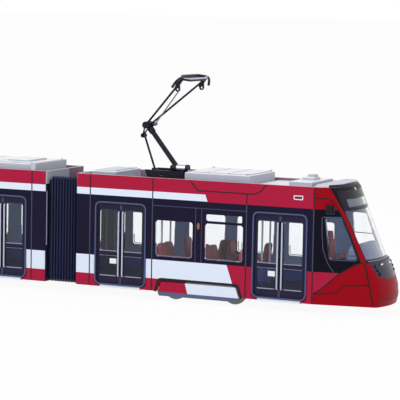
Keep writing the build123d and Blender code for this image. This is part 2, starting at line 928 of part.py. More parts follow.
# Floors: the plate, the equipment boxes under it and the articulation plates
for number in section_numbers:
    middle = section_middle(number)
    facing = facing_of(number)
    rear, front = section_ends(number)
    plate_rear = rear + wall if facing >= 0 else rear
    plate_front = front - wall if facing <= 0 else front
    with BuildPart() as floor:
        with BuildSketch(level_plane(middle + (plate_rear + plate_front) / 2, floor_bottom_z)):
            Rectangle(plate_front - plate_rear, 2 * inner_half)
        extrude(amount=floor_thickness)
        if facing:
            cab_half = inner_half - floor_end_clearance
            with BuildSketch(level_plane(middle, floor_bottom_z)):
                with BuildLine():
                    Polyline(
                        (facing * (cab_start - overrun), -cab_half),
                        (facing * cab_start, -cab_half),
                        (facing * cab_floor_end, -cab_floor_end_half_width),
                        (facing * cab_floor_end, cab_floor_end_half_width),
                        (facing * cab_start, cab_half),
                        (facing * (cab_start - overrun), cab_half),
                        close=True,
                    )
                make_face()
            extrude(amount=floor_thickness)
        slot_half_length = housing_half_length - housing_wall
        slot_inner = housing_inner_y + housing_wall
        with BuildSketch(level_plane(middle, floor_bottom_z)):
            slot_width = inner_half - slot_inner
            with Locations(*((0, side * (slot_inner + slot_width / 2)) for side in (-1, 1))):
                Rectangle(2 * slot_half_length, slot_width)
        extrude(amount=floor_thickness, mode=Mode.SUBTRACT)
        with BuildSketch(level_plane(middle, floor_bottom_z)):
            Circle(bogie_pivot_radius + bogie_pivot_clearance)
        extrude(amount=floor_thickness, mode=Mode.SUBTRACT)
        for end in (-1, 1):
            with BuildPart(mode=Mode.PRIVATE) as underbox:
                underbox_middle = end * (underbox_start + underbox_end) / 2
                with BuildSketch(level_plane(middle + underbox_middle, underbox_bottom_z)):
                    Rectangle(underbox_end - underbox_start, 2 * underbox_half_width)
                extrude(amount=floor_bottom_z - underbox_bottom_z)
                fillet(underbox.faces().sort_by(Axis.Z)[0].edges(), underbox_edge_radius)
            add(underbox.part)
        if facing >= 0:
            # Eye plate behind, level with the floor
            with BuildSketch(level_plane(middle, floor_bottom_z)):
                with Locations((-section_pitch / 2, 0)):
                    Circle(eye_radius)
                with Locations((-(section_pitch / 2 + section_half - wall) / 2, 0)):
                    Rectangle(section_pitch / 2 - section_half + wall, 2 * eye_radius)
                with Locations((-section_pitch / 2, 0)):
                    Circle(pin_radius + pin_clearance, mode=Mode.SUBTRACT)
            extrude(amount=floor_thickness)
        if facing <= 0:
            # Pin plate ahead, under the eye of the next section
            plate_top = floor_bottom_z - pin_plate_gap
            with BuildSketch(level_plane(middle, plate_top)):
                with Locations((section_pitch / 2, 0)):
                    Circle(pin_plate_radius)
                with Locations(((section_pitch / 2 + underbox_end) / 2, 0)):
                    Rectangle(section_pitch / 2 - underbox_end, 2 * pin_plate_radius)
            extrude(amount=-pin_plate_thickness)
            with BuildSketch(level_plane(middle, plate_top - pin_plate_thickness)):
                with Locations(((underbox_end + section_half - wall) / 2, 0)):
                    Rectangle(section_half - wall - underbox_end + overrun, 2 * pin_plate_radius)
            extrude(amount=pin_plate_thickness + pin_plate_gap)
            with BuildSketch(level_plane(middle, plate_top)):
                with Locations((section_pitch / 2, 0)):
                    Circle(pin_radius)
            extrude(amount=pin_plate_gap + floor_thickness + pin_top_overlap)
    name = f"floor_{number}"
    floor.part.label = name
    export_step(floor.part, f"parts/{name}.step")

# Interiors: wheel housings with the seats on them, and the grab poles
seat_base_z = housing_top_z
seat_rows = (
    (-seat_end_row_x, 1),
    (-seat_middle_row_x, -1),
    (seat_middle_row_x, 1),
    (seat_end_row_x, -1),
)
seat_ways = {}
for way in (-1, 1):
    with BuildPart() as seat:
        with BuildSketch(side_plane(0, -seat_width / 2)):
            with BuildLine():
                Polyline(
                    (way * seat_lean, -housing_wall / 2),
                    (way * (seat_lean + seat_pedestal_depth), -housing_wall / 2),
                    (way * (seat_lean + seat_pedestal_depth), seat_height - seat_cushion_thickness),
                    (way * seat_depth, seat_height - seat_cushion_thickness),
                    (way * seat_depth, seat_height),
                    (way * (seat_lean + seat_back_thickness), seat_height),
                    (way * seat_back_thickness, seat_back_height),
                    (0, seat_back_height),
                    (way * seat_lean, seat_height - seat_cushion_thickness),
                    close=True,
                )
            make_face()
        extrude(amount=-seat_width)
        fillet(seat.edges().filter_by(Axis.X).group_by(Axis.Z)[-1], seat_corner_radius)
    seat_ways[way] = seat.part
seat_first_y = inner_half - seat_wall_gap - seat_width / 2
seat_places = (
    (-1, seat_first_y),
    (-1, seat_first_y - seat_width - seat_side_gap),
    (1, seat_first_y),
)
for number in section_numbers:
    middle = section_middle(number)
    with BuildPart() as interior:
        for side in (-1, 1):
            housing_width = inner_half - housing_inner_y
            with BuildSketch(level_plane(middle, floor_top_z)):
                with Locations((0, side * (housing_inner_y + housing_width / 2))):
                    Rectangle(2 * housing_half_length, housing_width)
            extrude(amount=housing_top_z - floor_top_z)
            with BuildSketch(level_plane(middle, floor_top_z)):
                with Locations((0, side * (housing_inner_y + housing_wall + housing_width / 2))):
                    Rectangle(2 * (housing_half_length - housing_wall), housing_width)
            extrude(amount=housing_top_z - housing_wall - floor_top_z, mode=Mode.SUBTRACT)
        for row_x, way in seat_rows:
            for side, seat_y in seat_places:
                with Locations((middle + row_x, side * seat_y, seat_base_z)):
                    add(seat_ways[way])
        for x in (-pole_x, pole_x):
            for y in (-pole_y, pole_y):
                with BuildSketch(level_plane(middle, floor_top_z)):
                    with Locations((x, y)):
                        Circle(pole_radius)
                extrude(amount=deck_z - deck_thickness - floor_top_z)
    name = f"interior_{number}"
    interior.part.label = name
    export_step(interior.part, f"parts/{name}.step")

# Bogie covers: a panel in each body side, with the lip that holds it behind the wall
for number in section_numbers:
    middle = section_middle(number)
    with BuildPart() as covers:
        for side in (-1, 1):
            with BuildSketch(side_plane(middle, side * half_width)):
                with BuildLine():
                    Polyline(
                        (-cover_top_half, cover_top_z),
                        (cover_top_half, cover_top_z),
                        (cover_waist_half, cover_waist_z),
                        (cover_bottom_half, cover_bottom_z),
                        (-cover_bottom_half, cover_bottom_z),
                        (-cover_waist_half, cover_waist_z),
                        close=True,
                    )
                make_face()
            extrude(amount=side * wall)
            with BuildSketch(side_plane(middle, side * inner_half)):
                with Locations((0, (cover_lip_bottom_z + cover_lip_top_z) / 2)):
                    Rectangle(2 * cover_lip_half, cover_lip_top_z - cover_lip_bottom_z)
            extrude(amount=side * cover_lip_thickness)
    name = f"bogie_covers_{number}"
    covers.part.label = name
    export_step(covers.part, f"parts/{name}.step")

# Bogie frames and wheelsets
axle_z = flange_radius
wheel_inner_y = back_to_back / 2
wheel_outer_y = wheel_inner_y + wheel_width
for number in section_numbers:
    middle = section_middle(number)
    bogie_top_z = floor_bottom_z - bogie_top_gap
    beam_middle_y = bogie_beam_inner + bogie_beam_width / 2
    with BuildPart() as bogie:
        box_rear = wheelbase / 2 - bogie_beam_box_half
        box_front = wheelbase / 2 + bogie_beam_box_half
        front_edge = [
            (bogie_beam_half_length, bogie_top_z),
            (bogie_beam_half_length, bogie_beam_waist_z),
            (box_front, bogie_beam_bottom_z),
            (box_rear, bogie_beam_bottom_z),
            (box_rear - bogie_beam_slope, bogie_beam_waist_z),
            (bogie_cross_half_length + bogie_beam_slope, bogie_beam_waist_z),
            (bogie_cross_half_length, bogie_beam_bottom_z),
        ]
        rear_edge = [(-x, z) for x, z in reversed(front_edge)]
        for side in (-1, 1):
            with BuildSketch(side_plane(middle, side * bogie_beam_inner)):
                with BuildLine():
                    Polyline(*front_edge, *rear_edge, close=True)
                make_face()
            extrude(amount=-side * bogie_beam_width)
        with BuildSketch(level_plane(middle, bogie_cross_bottom_z)):
            Rectangle(2 * bogie_cross_half_length, 2 * beam_middle_y)
        extrude(amount=bogie_cross_top_z - bogie_cross_bottom_z)
        with BuildSketch(level_plane(middle, bogie_cross_top_z)):
            Circle(bogie_seat_radius)
        extrude(amount=bogie_top_z - bogie_cross_top_z)
        with BuildSketch(level_plane(middle, bogie_top_z)):
            Circle(bogie_pivot_radius)
        extrude(amount=floor_top_z - bogie_top_z - bogie_top_gap)
        magnet_y = wheel_inner_y + flange_width + magnet_width / 4
        for side in (-1, 1):
            with BuildSketch(level_plane(middle, magnet_clearance_z)):
                with Locations((0, side * magnet_y)):
                    Rectangle(2 * magnet_half_length, magnet_width)
            extrude(amount=magnet_height)
            hanger_width = magnet_y - beam_middle_y
            with BuildSketch(level_plane(middle, magnet_clearance_z + magnet_height / 2)):
                with Locations((0, side * (beam_middle_y + hanger_width / 2))):
                    Rectangle(2 * magnet_hanger_half_length, hanger_width)
            extrude(amount=magnet_hanger_top_z - magnet_clearance_z - magnet_height / 2)
        with BuildSketch(side_plane(middle, -half_width)):
            with Locations((-wheelbase / 2, axle_z), (wheelbase / 2, axle_z)):
                Circle(axle_radius + axle_clearance)
        extrude(amount=-body_width, mode=Mode.SUBTRACT)
    name = f"bogie_{number}"
    bogie.part.label = name
    export_step(bogie.part, f"parts/{name}.step")

    for axle_x, place in ((wheelbase / 2, "front"), (-wheelbase / 2, "rear")):
        with BuildPart() as wheelset:
            with BuildSketch(cross_plane(middle + axle_x)):
                with BuildLine():
                    Polyline(
                        (0, axle_z),
                        (0, axle_z + axle_radius),
                        (wheel_inner_y, axle_z + axle_radius),
                        (wheel_inner_y, axle_z + flange_radius),
                        (wheel_inner_y + flange_width / 2, axle_z + flange_radius),
                        (wheel_inner_y + flange_width, axle_z + tread_radius),
                        (wheel_outer_y, axle_z + tread_radius),
                        (wheel_outer_y, axle_z + wheel_rim_radius),
                        (wheel_outer_y - wheel_dish_depth, axle_z + wheel_rim_radius),
                        (wheel_outer_y - wheel_dish_depth, axle_z + wheel_hub_radius),
                        (wheel_outer_y, axle_z + wheel_hub_radius),
                        (wheel_outer_y, axle_z + axle_radius),
                        (wheel_outer_y + axle_end, axle_z + axle_radius),
                        (wheel_outer_y + axle_end, axle_z),
                        close=True,
                    )
                make_face()
            revolve(axis=Axis((middle + axle_x, 0, axle_z), (0, 1, 0)))
            mirror(about=Plane.XZ)
        name = f"wheelset_{number}_{place}"
        wheelset.part.label = name
        export_step(wheelset.part, f"parts/{name}.step")

# Bellows: a folded sleeve between each two sections
bellows_length = section_gap - 2 * bellows_end_gap
rib_pitch = bellows_length / (bellows_rib_count - 1 / 2)
bellows_height = bellows_top_z - bellows_bottom_z
bellows_middle_z = (bellows_top_z + bellows_bottom_z) / 2
for number in section_numbers[:-1]:
    joint_x = section_middle(number) - section_pitch / 2
    with BuildPart() as bellows:
        with BuildSketch(cross_plane(joint_x - bellows_length / 2)):
            with Locations((0, bellows_middle_z)):
                sleeve = Rectangle(
                    2 * (bellows_half_width - bellows_rib_depth), bellows_height - 2 * bellows_rib_depth
                )
            chamfer(sleeve.vertices(), bellows_corner - bellows_rib_depth)
        extrude(amount=bellows_length)
        for index in range(bellows_rib_count):
            with BuildSketch(cross_plane(joint_x - bellows_length / 2 + index * rib_pitch)):
                with Locations((0, bellows_middle_z)):
                    rib = Rectangle(2 * bellows_half_width, bellows_height)
                chamfer(rib.vertices(), bellows_corner)
            extrude(amount=rib_pitch / 2)
        with BuildSketch(cross_plane(joint_x - bellows_length / 2)):
            with Locations((0, bellows_middle_z)):
                Rectangle(
                    2 * (bellows_half_width - bellows_rib_depth - bellows_wall),
                    bellows_height - 2 * (bellows_rib_depth + bellows_wall),
                )
        extrude(amount=bellows_length, mode=Mode.SUBTRACT)
    name = f"bellows_{number}"
    bellows.part.label = name
    export_step(bellows.part, f"parts/{name}.step")

# Pantograph base: four insulators, a frame, the bearings, the rod bracket and the drive
foot = (front_middle + panto_foot_x, 0, panto_foot_z)
knee = (front_middle + panto_knee_x, 0, panto_knee_z)
tail = (front_middle + panto_tail_x, 0, panto_tail_z)
rod_foot = (front_middle + panto_rod_x, 0, panto_rod_z)
head_pivot = (front_middle + panto_head_x, 0, panto_head_z)
guide_foot = (front_middle + guide_foot_x, guide_foot_y, guide_foot_z)
guide_head = (front_middle + guide_head_x, guide_head_y, guide_head_z)
base_bar_top_z = base_bar_bottom_z + base_bar_height
bracket_inner = foot_hub_half_width + bracket_gap
insulator_height = base_bar_bottom_z - deck_z
shed_pitch = insulator_height / (insulator_shed_count + 1)
insulator_profile = [(0, 0), (insulator_radius, 0)]
for index in range(insulator_shed_count):
    shed_z = (index + 1) * shed_pitch
    insulator_profile += [
        (insulator_radius, shed_z - shed_pitch / 2),
        (insulator_shed_radius, shed_z),
        (insulator_radius, shed_z + shed_pitch / 4),
    ]
insulator_profile += [(insulator_radius, insulator_height), (0, insulator_height)]
with BuildPart() as insulator:
    with BuildSketch(Plane.XZ):
        with BuildLine():
            Polyline(*insulator_profile, close=True)
        make_face()
    revolve(axis=Axis.Z)
with BuildPart() as panto_base:
    for side in (-1, 1):
        with BuildSketch(side_plane(front_middle, side * base_half_width)):
            with BuildLine():
                Polyline(
                    (base_rear_x, base_side_top_z),
                    (base_rear_x + base_rear_slant, base_bar_bottom_z),
                    (base_front_x, base_bar_bottom_z),
                    (base_front_x, base_side_top_z),
                    close=True,
                )
            make_face()
            with Locations((base_slot_x, base_bar_bottom_z + base_bar_height + base_slot_height)):
                SlotOverall(base_slot_length, base_slot_height, mode=Mode.SUBTRACT)
        extrude(amount=side * base_bar_width)
        for x in (base_rear_x + insulator_inset, base_front_x - insulator_inset):
            with Locations((front_middle + x, side * (base_half_width - insulator_shed_radius), deck_z)):
                add(insulator.part)
    bar_rear_x = base_rear_x + base_rear_slant + base_bar_width / 2
    for x in (bar_rear_x, panto_foot_x, base_front_x - base_bar_width / 2):
        with BuildSketch(level_plane(front_middle, base_bar_bottom_z)):
            with Locations((x, 0)):
                Rectangle(base_bar_width, 2 * base_half_width)
        extrude(amount=base_bar_height)
    for side in (-1, 1):
        bracket_middle_y = side * (bracket_inner + bracket_thickness / 2)
        with BuildSketch(side_plane(front_middle, bracket_middle_y + bracket_thickness / 2)):
            with BuildLine():
                Polyline(
                    (panto_foot_x - bracket_half_length, base_bar_bottom_z),
                    (panto_foot_x + bracket_half_length, base_bar_bottom_z),
                    (panto_foot_x + bracket_half_length, panto_foot_z + foot_hub_radius),
                    (panto_foot_x - bracket_half_length, panto_foot_z + foot_hub_radius),
                    close=True,
                )
            make_face()
        extrude(amount=bracket_thickness)
    with BuildSketch(side_plane(front_middle, bracket_inner + bracket_thickness)):
        with Locations((panto_foot_x, panto_foot_z)):
            Circle(foot_pin_radius)
    extrude(amount=2 * (bracket_inner + bracket_thickness))
    # Bracket and pin of the lower rod
    with BuildSketch(side_plane(front_middle, rod_y - rod_eye_half_width - bracket_gap)):
        with Locations((panto_rod_x, (base_bar_bottom_z + panto_rod_z + rod_eye_radius) / 2)):
            Rectangle(2 * rod_eye_radius, panto_rod_z + rod_eye_radius - base_bar_bottom_z)
    extrude(amount=bracket_thickness)
    with BuildSketch(side_plane(front_middle, rod_y + rod_eye_half_width)):
        with Locations((panto_rod_x, panto_rod_z)):
            Circle(rod_pin_radius)
    extrude(amount=2 * rod_eye_half_width + bracket_gap + bracket_thickness / 2)
    # Drive beside the foot: cylinder, end cap, spindle and the bracket that carries them
    for start_x, end_x, radius in (
        (drive_rear_x, drive_front_x, drive_radius),
        (drive_front_x, drive_front_x + drive_cap_length, drive_cap_radius),
        (drive_front_x + drive_cap_length, drive_bracket_x, drive_spindle_radius),
    ):
        with BuildSketch(cross_plane(front_middle + start_x)):
            with Locations((drive_y, drive_z)):
                Circle(radius)
        extrude(amount=end_x - start_x)
    for x in (drive_bracket_x, drive_rear_x + base_bar_width):
        with BuildSketch(cross_plane(front_middle + x)):
            with Locations((drive_y, (base_bar_bottom_z + drive_z) / 2)):
                Rectangle(drive_bracket_width, drive_z - base_bar_bottom_z)
        extrude(amount=-base_bar_width)
panto_base.part.label = "panto_base"
export_step(panto_base.part, "parts/panto_base.step")

# Pantograph lower arm: a tube from the foot bearing to the knee
arm_vector = Vector(*knee) - Vector(*foot)
sleeve_start = Vector(*knee) - arm_vector.normalized() * sleeve_length
with BuildPart() as panto_lower_arm:
    add(tube_between(foot, knee, lower_arm_radius))
    add(tube_between(tuple(sleeve_start), knee, sleeve_radius))
    for pivot, radius, half in (
        (foot, foot_hub_radius, foot_hub_half_width),
        (knee, knee_hub_radius, knee_hub_half_width),
    ):
        with BuildSketch(side_plane(pivot[0], half)):
            with Locations((0, pivot[2])):
                Circle(radius)
        extrude(amount=2 * half)
        with BuildSketch(side_plane(pivot[0], half)):
            with Locations((0, pivot[2])):
                Circle(foot_pin_radius + panto_fit)
        extrude(amount=2 * half, mode=Mode.SUBTRACT)
    # Lug and pin that carry the guide rod in front of the knee
    lug_y = guide_foot_y + guide_eye_half_width + bracket_gap + 2 * guide_lug_half_width
    with BuildSketch(side_plane(front_middle, lug_y)):
        with BuildLine():
            Polyline(
                (panto_knee_x + knee_hub_radius / 2, panto_knee_z + knee_hub_radius / 2),
                (guide_foot_x, guide_foot_z + guide_lug_radius),
                (guide_foot_x + guide_lug_radius, guide_foot_z),
                (guide_foot_x, guide_foot_z - guide_lug_radius),
                (panto_knee_x + knee_hub_radius, panto_knee_z - knee_hub_radius / 2),
                close=True,
            )
        make_face()
    extrude(amount=2 * guide_lug_half_width)
    with BuildSketch(side_plane(guide_foot[0], lug_y - guide_lug_half_width)):
        with Locations((0, guide_foot[2])):
            Circle(guide_pin_radius)
    extrude(amount=lug_y - guide_lug_half_width - guide_foot_y + guide_eye_half_width)
panto_lower_arm.part.label = "panto_lower_arm"
export_step(panto_lower_arm.part, "parts/panto_lower_arm.step")

# Pantograph upper arm: knee cheeks, two struts to the head and two to the tail ring
cheek_inner = knee_hub_half_width + knee_cheek_gap
with BuildPart() as panto_upper_arm:
    with BuildSketch(side_plane(knee[0], cheek_inner + knee_cheek_thickness)):
        with Locations((0, knee[2])):
            Circle(foot_pin_radius)
    extrude(amount=2 * (cheek_inner + knee_cheek_thickness))
    for side in (-1, 1):
        with BuildSketch(side_plane(knee[0], side * cheek_inner)):
            with Locations((0, knee[2])):
                Circle(knee_hub_radius)
        extrude(amount=-side * knee_cheek_thickness)
        strut_foot = (knee[0], side * upper_strut_knee_y, knee[2])
        tail_foot = (
            knee[0] + tail_strut_start_share * (tail[0] - knee[0]),
            side * upper_strut_knee_y,
            knee[2] + tail_strut_start_share * (tail[2] - knee[2]),
        )
        strut_head = (head_pivot[0], side * upper_strut_head_y, head_pivot[2])
        add(tube_between(strut_foot, strut_head, upper_strut_radius))
        add(tube_between(tail_foot, tail, tail_strut_radius))
        with BuildSketch(side_plane(head_pivot[0], side * (upper_strut_head_y - 2 * head_pin_radius))):
            with Locations((0, head_pivot[2])):
                Circle(head_pin_radius)
        extrude(amount=-side * (cheek_y + cheek_thickness - upper_strut_head_y + 2 * head_pin_radius))
    with BuildSketch(side_plane(tail[0], tail_ring_half_width)):
        with Locations((0, tail[2])):
            Circle(tail_ring_radius)
    extrude(amount=2 * tail_ring_half_width)
    with BuildSketch(side_plane(tail[0], tail_ring_half_width)):
        with Locations((0, tail[2])):
            Circle(tail_ring_hole_radius)
    extrude(amount=2 * tail_ring_half_width, mode=Mode.SUBTRACT)
panto_upper_arm.part.label = "panto_upper_arm"
export_step(panto_upper_arm.part, "parts/panto_upper_arm.step")

# Pantograph head: two strips that meet at a horn at each end, on the cheeks that hang it
strip_middle = Vector(front_middle + panto_strip_x, 0, panto_strip_top_z)
head_plane = Plane(origin=strip_middle, x_dir=(1, 0, 0), z_dir=(0, 0, 1)).rotated((0, head_pitch, 0))
strip_reach = (strip_spacing + strip_width) / 2
cheek_ring = (guide_head_x, guide_head_z)
with BuildPart() as panto_head:
    with BuildSketch(head_plane):
        for reach, cut, mode in (
            (strip_reach, 0, Mode.ADD),
            (strip_reach - strip_width, strip_width, Mode.SUBTRACT),
        ):
            with BuildLine():
                Polyline(
                    (-reach, -strip_bend_y),
                    (-reach, strip_bend_y),
                    (-horn_radius + cut / 2, horn_root_y - cut),
                    (horn_radius - cut / 2, horn_root_y - cut),
                    (reach, strip_bend_y),
                    (reach, -strip_bend_y),
                    (horn_radius - cut / 2, -horn_root_y + cut),
                    (-horn_radius + cut / 2, -horn_root_y + cut),
                    close=True,
                )
            make_face(mode=mode)
    extrude(amount=-strip_height)
    cheek_top = head_plane.offset(-strip_height)
    cheek_rear = cheek_top.from_local_coords((-strip_reach / 2, 0, 0))
    cheek_front = cheek_top.from_local_coords((strip_reach / 2, 0, 0))
    for side in (-1, 1):
        with BuildSketch(side_plane(front_middle, side * cheek_y)):
            with BuildLine():
                Polyline(
                    (cheek_rear.X - front_middle, cheek_rear.Z + strip_height / 2),
                    (panto_head_x - cheek_shoulder, panto_head_z - cheek_shoulder),
                    (cheek_ring[0] - cheek_ring_radius, cheek_ring[1]),
                    (cheek_ring[0] + cheek_ring_radius, cheek_ring[1]),
                    (panto_head_x + cheek_shoulder, panto_head_z),
                    (cheek_front.X - front_middle, cheek_front.Z + strip_height / 2),
                    close=True,
                )
            make_face()
            with Locations(cheek_ring):
                Circle(cheek_ring_radius)
                Circle(cheek_ring_hole_radius, mode=Mode.SUBTRACT)
            with Locations((panto_head_x, panto_head_z)):
                Circle(head_pin_radius + panto_fit, mode=Mode.SUBTRACT)
        extrude(amount=-side * cheek_thickness)
        horn_start = head_plane.from_local_coords((0, side * horn_root_y, -strip_height / 2))
        with BuildSketch(Plane(origin=horn_start, z_dir=(0, side, 0))):
            Circle(horn_radius)
        bend_centre = head_plane.from_local_coords(
            (0, side * horn_root_y, -strip_height / 2 - horn_bend_radius)
        )
        bend = Axis(tuple(bend_centre), tuple(head_plane.x_dir * -side))
        revolve(axis=bend, revolution_arc=horn_bend_angle)
panto_head.part.label = "panto_head"
export_step(panto_head.part, "parts/panto_head.step")

# Pantograph lower rod: from its bracket on the base to beside the tail ring
with BuildPart() as panto_lower_rod:
    rod_start = (rod_foot[0], rod_y, rod_foot[2])
    rod_end = (tail[0], rod_y, tail[2])
    add(tube_between(rod_start, rod_end, rod_radius))
    for end in (rod_start, rod_end):
        with BuildSketch(side_plane(end[0], rod_y + rod_eye_half_width)):
            with Locations((0, end[2])):
                Circle(rod_eye_radius)
        extrude(amount=2 * rod_eye_half_width)
    with BuildSketch(side_plane(rod_start[0], rod_y + rod_eye_half_width)):
        with Locations((0, rod_start[2])):
            Circle(rod_pin_radius + panto_fit)
    extrude(amount=2 * rod_eye_half_width, mode=Mode.SUBTRACT)
panto_lower_rod.part.label = "panto_lower_rod"
export_step(panto_lower_rod.part, "parts/panto_lower_rod.step")

# Pantograph guide rod: from the lug at the knee to the head's near cheek
with BuildPart() as panto_guide_rod:
    add(tube_between(guide_foot, guide_head, guide_radius))
    with BuildSketch(side_plane(guide_foot[0], guide_foot_y + guide_eye_half_width)):
        with Locations((0, guide_foot[2])):
            Circle(guide_eye_radius)
    extrude(amount=2 * guide_eye_half_width)
    with BuildSketch(side_plane(guide_foot[0], guide_foot_y + guide_eye_half_width)):
        with Locations((0, guide_foot[2])):
            Circle(guide_pin_radius + panto_fit)
    extrude(amount=2 * guide_eye_half_width, mode=Mode.SUBTRACT)
panto_guide_rod.part.label = "panto_guide_rod"
export_step(panto_guide_rod.part, "parts/panto_guide_rod.step")
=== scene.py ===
# %% [markdown]
# # An H0 model tram, four sections on four bogies
#
# The model is a collector's railway model, 419 mm long, moulded in ABS and clear
# polystyrene and printed in red, white and charcoal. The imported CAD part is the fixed
# frame: it gives every body, panel, wheel and rod. This script adds the finish, and the
# small pieces that sit on those panels.

# %% Load the frame
import math

import bpy
from mathutils import Matrix, Vector
from mathutils.bvhtree import BVHTree


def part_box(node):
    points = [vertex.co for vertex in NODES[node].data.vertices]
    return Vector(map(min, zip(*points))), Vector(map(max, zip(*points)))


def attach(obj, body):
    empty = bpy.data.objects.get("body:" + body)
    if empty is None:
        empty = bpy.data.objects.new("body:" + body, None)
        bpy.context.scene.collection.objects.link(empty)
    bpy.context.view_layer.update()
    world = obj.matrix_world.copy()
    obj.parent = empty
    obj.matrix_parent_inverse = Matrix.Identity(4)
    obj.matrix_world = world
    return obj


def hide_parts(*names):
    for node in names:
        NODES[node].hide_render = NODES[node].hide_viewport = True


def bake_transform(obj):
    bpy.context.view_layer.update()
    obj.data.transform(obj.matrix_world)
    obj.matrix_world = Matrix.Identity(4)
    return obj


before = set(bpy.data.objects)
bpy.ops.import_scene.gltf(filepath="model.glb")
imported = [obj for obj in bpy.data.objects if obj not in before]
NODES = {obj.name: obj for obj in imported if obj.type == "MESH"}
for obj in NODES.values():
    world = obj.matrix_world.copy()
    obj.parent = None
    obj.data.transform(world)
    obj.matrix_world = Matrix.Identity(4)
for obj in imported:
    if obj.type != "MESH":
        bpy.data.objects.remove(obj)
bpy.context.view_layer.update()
MM = 0.001

# %% [markdown]
# ## Where the sections are
#
# Every section stands on one bogie in its middle, so the four bogies give four origins
# along the tram. Places on a section are written in millimetres from its own bogie,
# towards its cab or the front, and heights in millimetres above the wheel flanges. The
# last section is the first one turned round, so its places run backwards.

# %% Sections and their origins
SECTIONS = (1, 2, 3, 4)
CAB_SECTIONS = {1: "front", 4: "rear"}
FACING = {1: 1, 2: 1, 3: 1, 4: -1}
RIGHT, LEFT = -1, 1
MIDDLE = {}
for number in SECTIONS:
    low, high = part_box(f"bogie_{number}")
    MIDDLE[number] = (low.x + high.x) / 2 / MM
print("section middles in mm", {n: round(x, 2) for n, x in MIDDLE.items()})


def place(number, along, across, height):
    """A point on a section, in metres in the shared frame."""
    return Vector((MIDDLE[number] + FACING[number] * along, across, height)) * MM


# %% [markdown]
# ## Nodes for materials
#
# A material is a small graph. One function adds a node, sets it up and wires its inputs,
# so each material below reads as a list of what feeds what. Where an input is another
# node, its first output in use is taken.

# %% Colour and node helpers
def srgb(code):
    """The linear RGBA of a colour written as an sRGB hex code."""
    channels = [int(code[i:i + 2], 16) / 255 for i in (1, 3, 5)]
    linear = [c / 12.92 if c <= 0.04045 else ((c + 0.055) / 1.055) ** 2.4 for c in channels]
    return (*linear, 1.0)


def add(tree, kind, inputs=None, **settings):
    """Adds one node. An input is a number, a colour code, a node or one output of a node."""
    made = tree.nodes.new(kind)
    for name, value in settings.items():
        setattr(made, name, value)
    for name, value in (inputs or {}).items():
        if isinstance(value, bpy.types.Node):
            value = next(output for output in value.outputs if output.enabled)
        if isinstance(value, bpy.types.NodeSocket):
            tree.links.new(value, made.inputs[name])
        else:
            made.inputs[name].default_value = srgb(value) if isinstance(value, str) else value
    return made


def new_material(name):
    """An empty material, with its tree and its output node."""
    material = bpy.data.materials.new(name)
    material.use_nodes = True
    material.node_tree.nodes.clear()
    return material, material.node_tree, add(material.node_tree, "ShaderNodeOutputMaterial")


# %% [markdown]
# ## Moulded plastic
#
# Injection-moulded ABS has a faint orange-peel from the mould's spark-eroded skin, about
# a tenth of a millimetre across, and a satin gloss. At this size the grain would vanish,
# so it is drawn a little coarser, at a quarter of a millimetre, and kept very shallow.
# Satin paint on a small model reflects less of the room than clean plastic does, so the
# specular level is low.

# %% Moulded plastic, in one colour with slight mottling
GRAIN_MM, GRAIN_DEPTH_MM = 0.25, 0.02
MOTTLE_MM = 9.0
PLASTIC_IOR = 1.53


def moulding_grain(tree, strength=0.05):
    """The fine skin of a mould, as a bump."""
    where = add(tree, "ShaderNodeTexCoord")
    grain = add(tree, "ShaderNodeTexNoise", {
        "Vector": where.outputs["Object"], "Scale": 1 / (GRAIN_MM * MM), "Detail": 2.0})
    return add(tree, "ShaderNodeBump", {
        "Height": grain, "Strength": strength, "Distance": GRAIN_DEPTH_MM * MM})


def mottled(tree, light, dark):
    """Two near colours, mixed by a slow noise, as pigment flows in a moulding."""
    where = add(tree, "ShaderNodeTexCoord")
    noise = add(tree, "ShaderNodeTexNoise", {
        "Vector": where.outputs["Object"], "Scale": 1 / (MOTTLE_MM * MM), "Detail": 3.0})
    return add(tree, "ShaderNodeMix", {"Factor": noise, "A": dark, "B": light}, data_type="RGBA")


def plastic_surface(tree, output, colour, roughness=0.4, specular=0.2, grain=0.05):
    """Satin plastic in a worked-out colour, joined to the material's output."""
    shader = add(tree, "ShaderNodeBsdfPrincipled", {
        "Base Color": colour, "Roughness": roughness, "IOR": PLASTIC_IOR,
        "Specular IOR Level": specular, "Normal": moulding_grain(tree, grain)})
    tree.links.new(shader.outputs["BSDF"], output.inputs["Surface"])


def moulded_plastic(name, light, dark, roughness=0.4, specular=0.2):
    """ABS or polystyrene straight from the mould."""
    material, tree, output = new_material(name)
    plastic_surface(tree, output, mottled(tree, light, dark), roughness, specular)
    return material


# %% [markdown]
# ## Where a point is on its section
#
# Printing and mouldings in two colours are worked out from the point's own place: how far
# along the section it is, how far to the side and how high. Each edge is one comparison,
# so it stays crisp from any distance and needs no image. The normal tells an inner face
# from an outer one, because the inner face of a wall looks at the middle of the tram.

# %% Places and tests
FAR = 1000.0


def section_axes(tree, number):
    """Along, across and height in millimetres on a section."""
    where = add(tree, "ShaderNodeTexCoord")
    axes = add(tree, "ShaderNodeSeparateXYZ", {"Vector": where.outputs["Object"]})
    along = add(tree, "ShaderNodeMath", {
        0: axes.outputs["X"], 1: FACING[number] / MM, 2: -FACING[number] * MIDDLE[number]},
        operation="MULTIPLY_ADD")
    across = add(tree, "ShaderNodeMath", {0: axes.outputs["Y"], 1: 1 / MM}, operation="MULTIPLY")
    height = add(tree, "ShaderNodeMath", {0: axes.outputs["Z"], 1: 1 / MM}, operation="MULTIPLY")
    return along, across, height


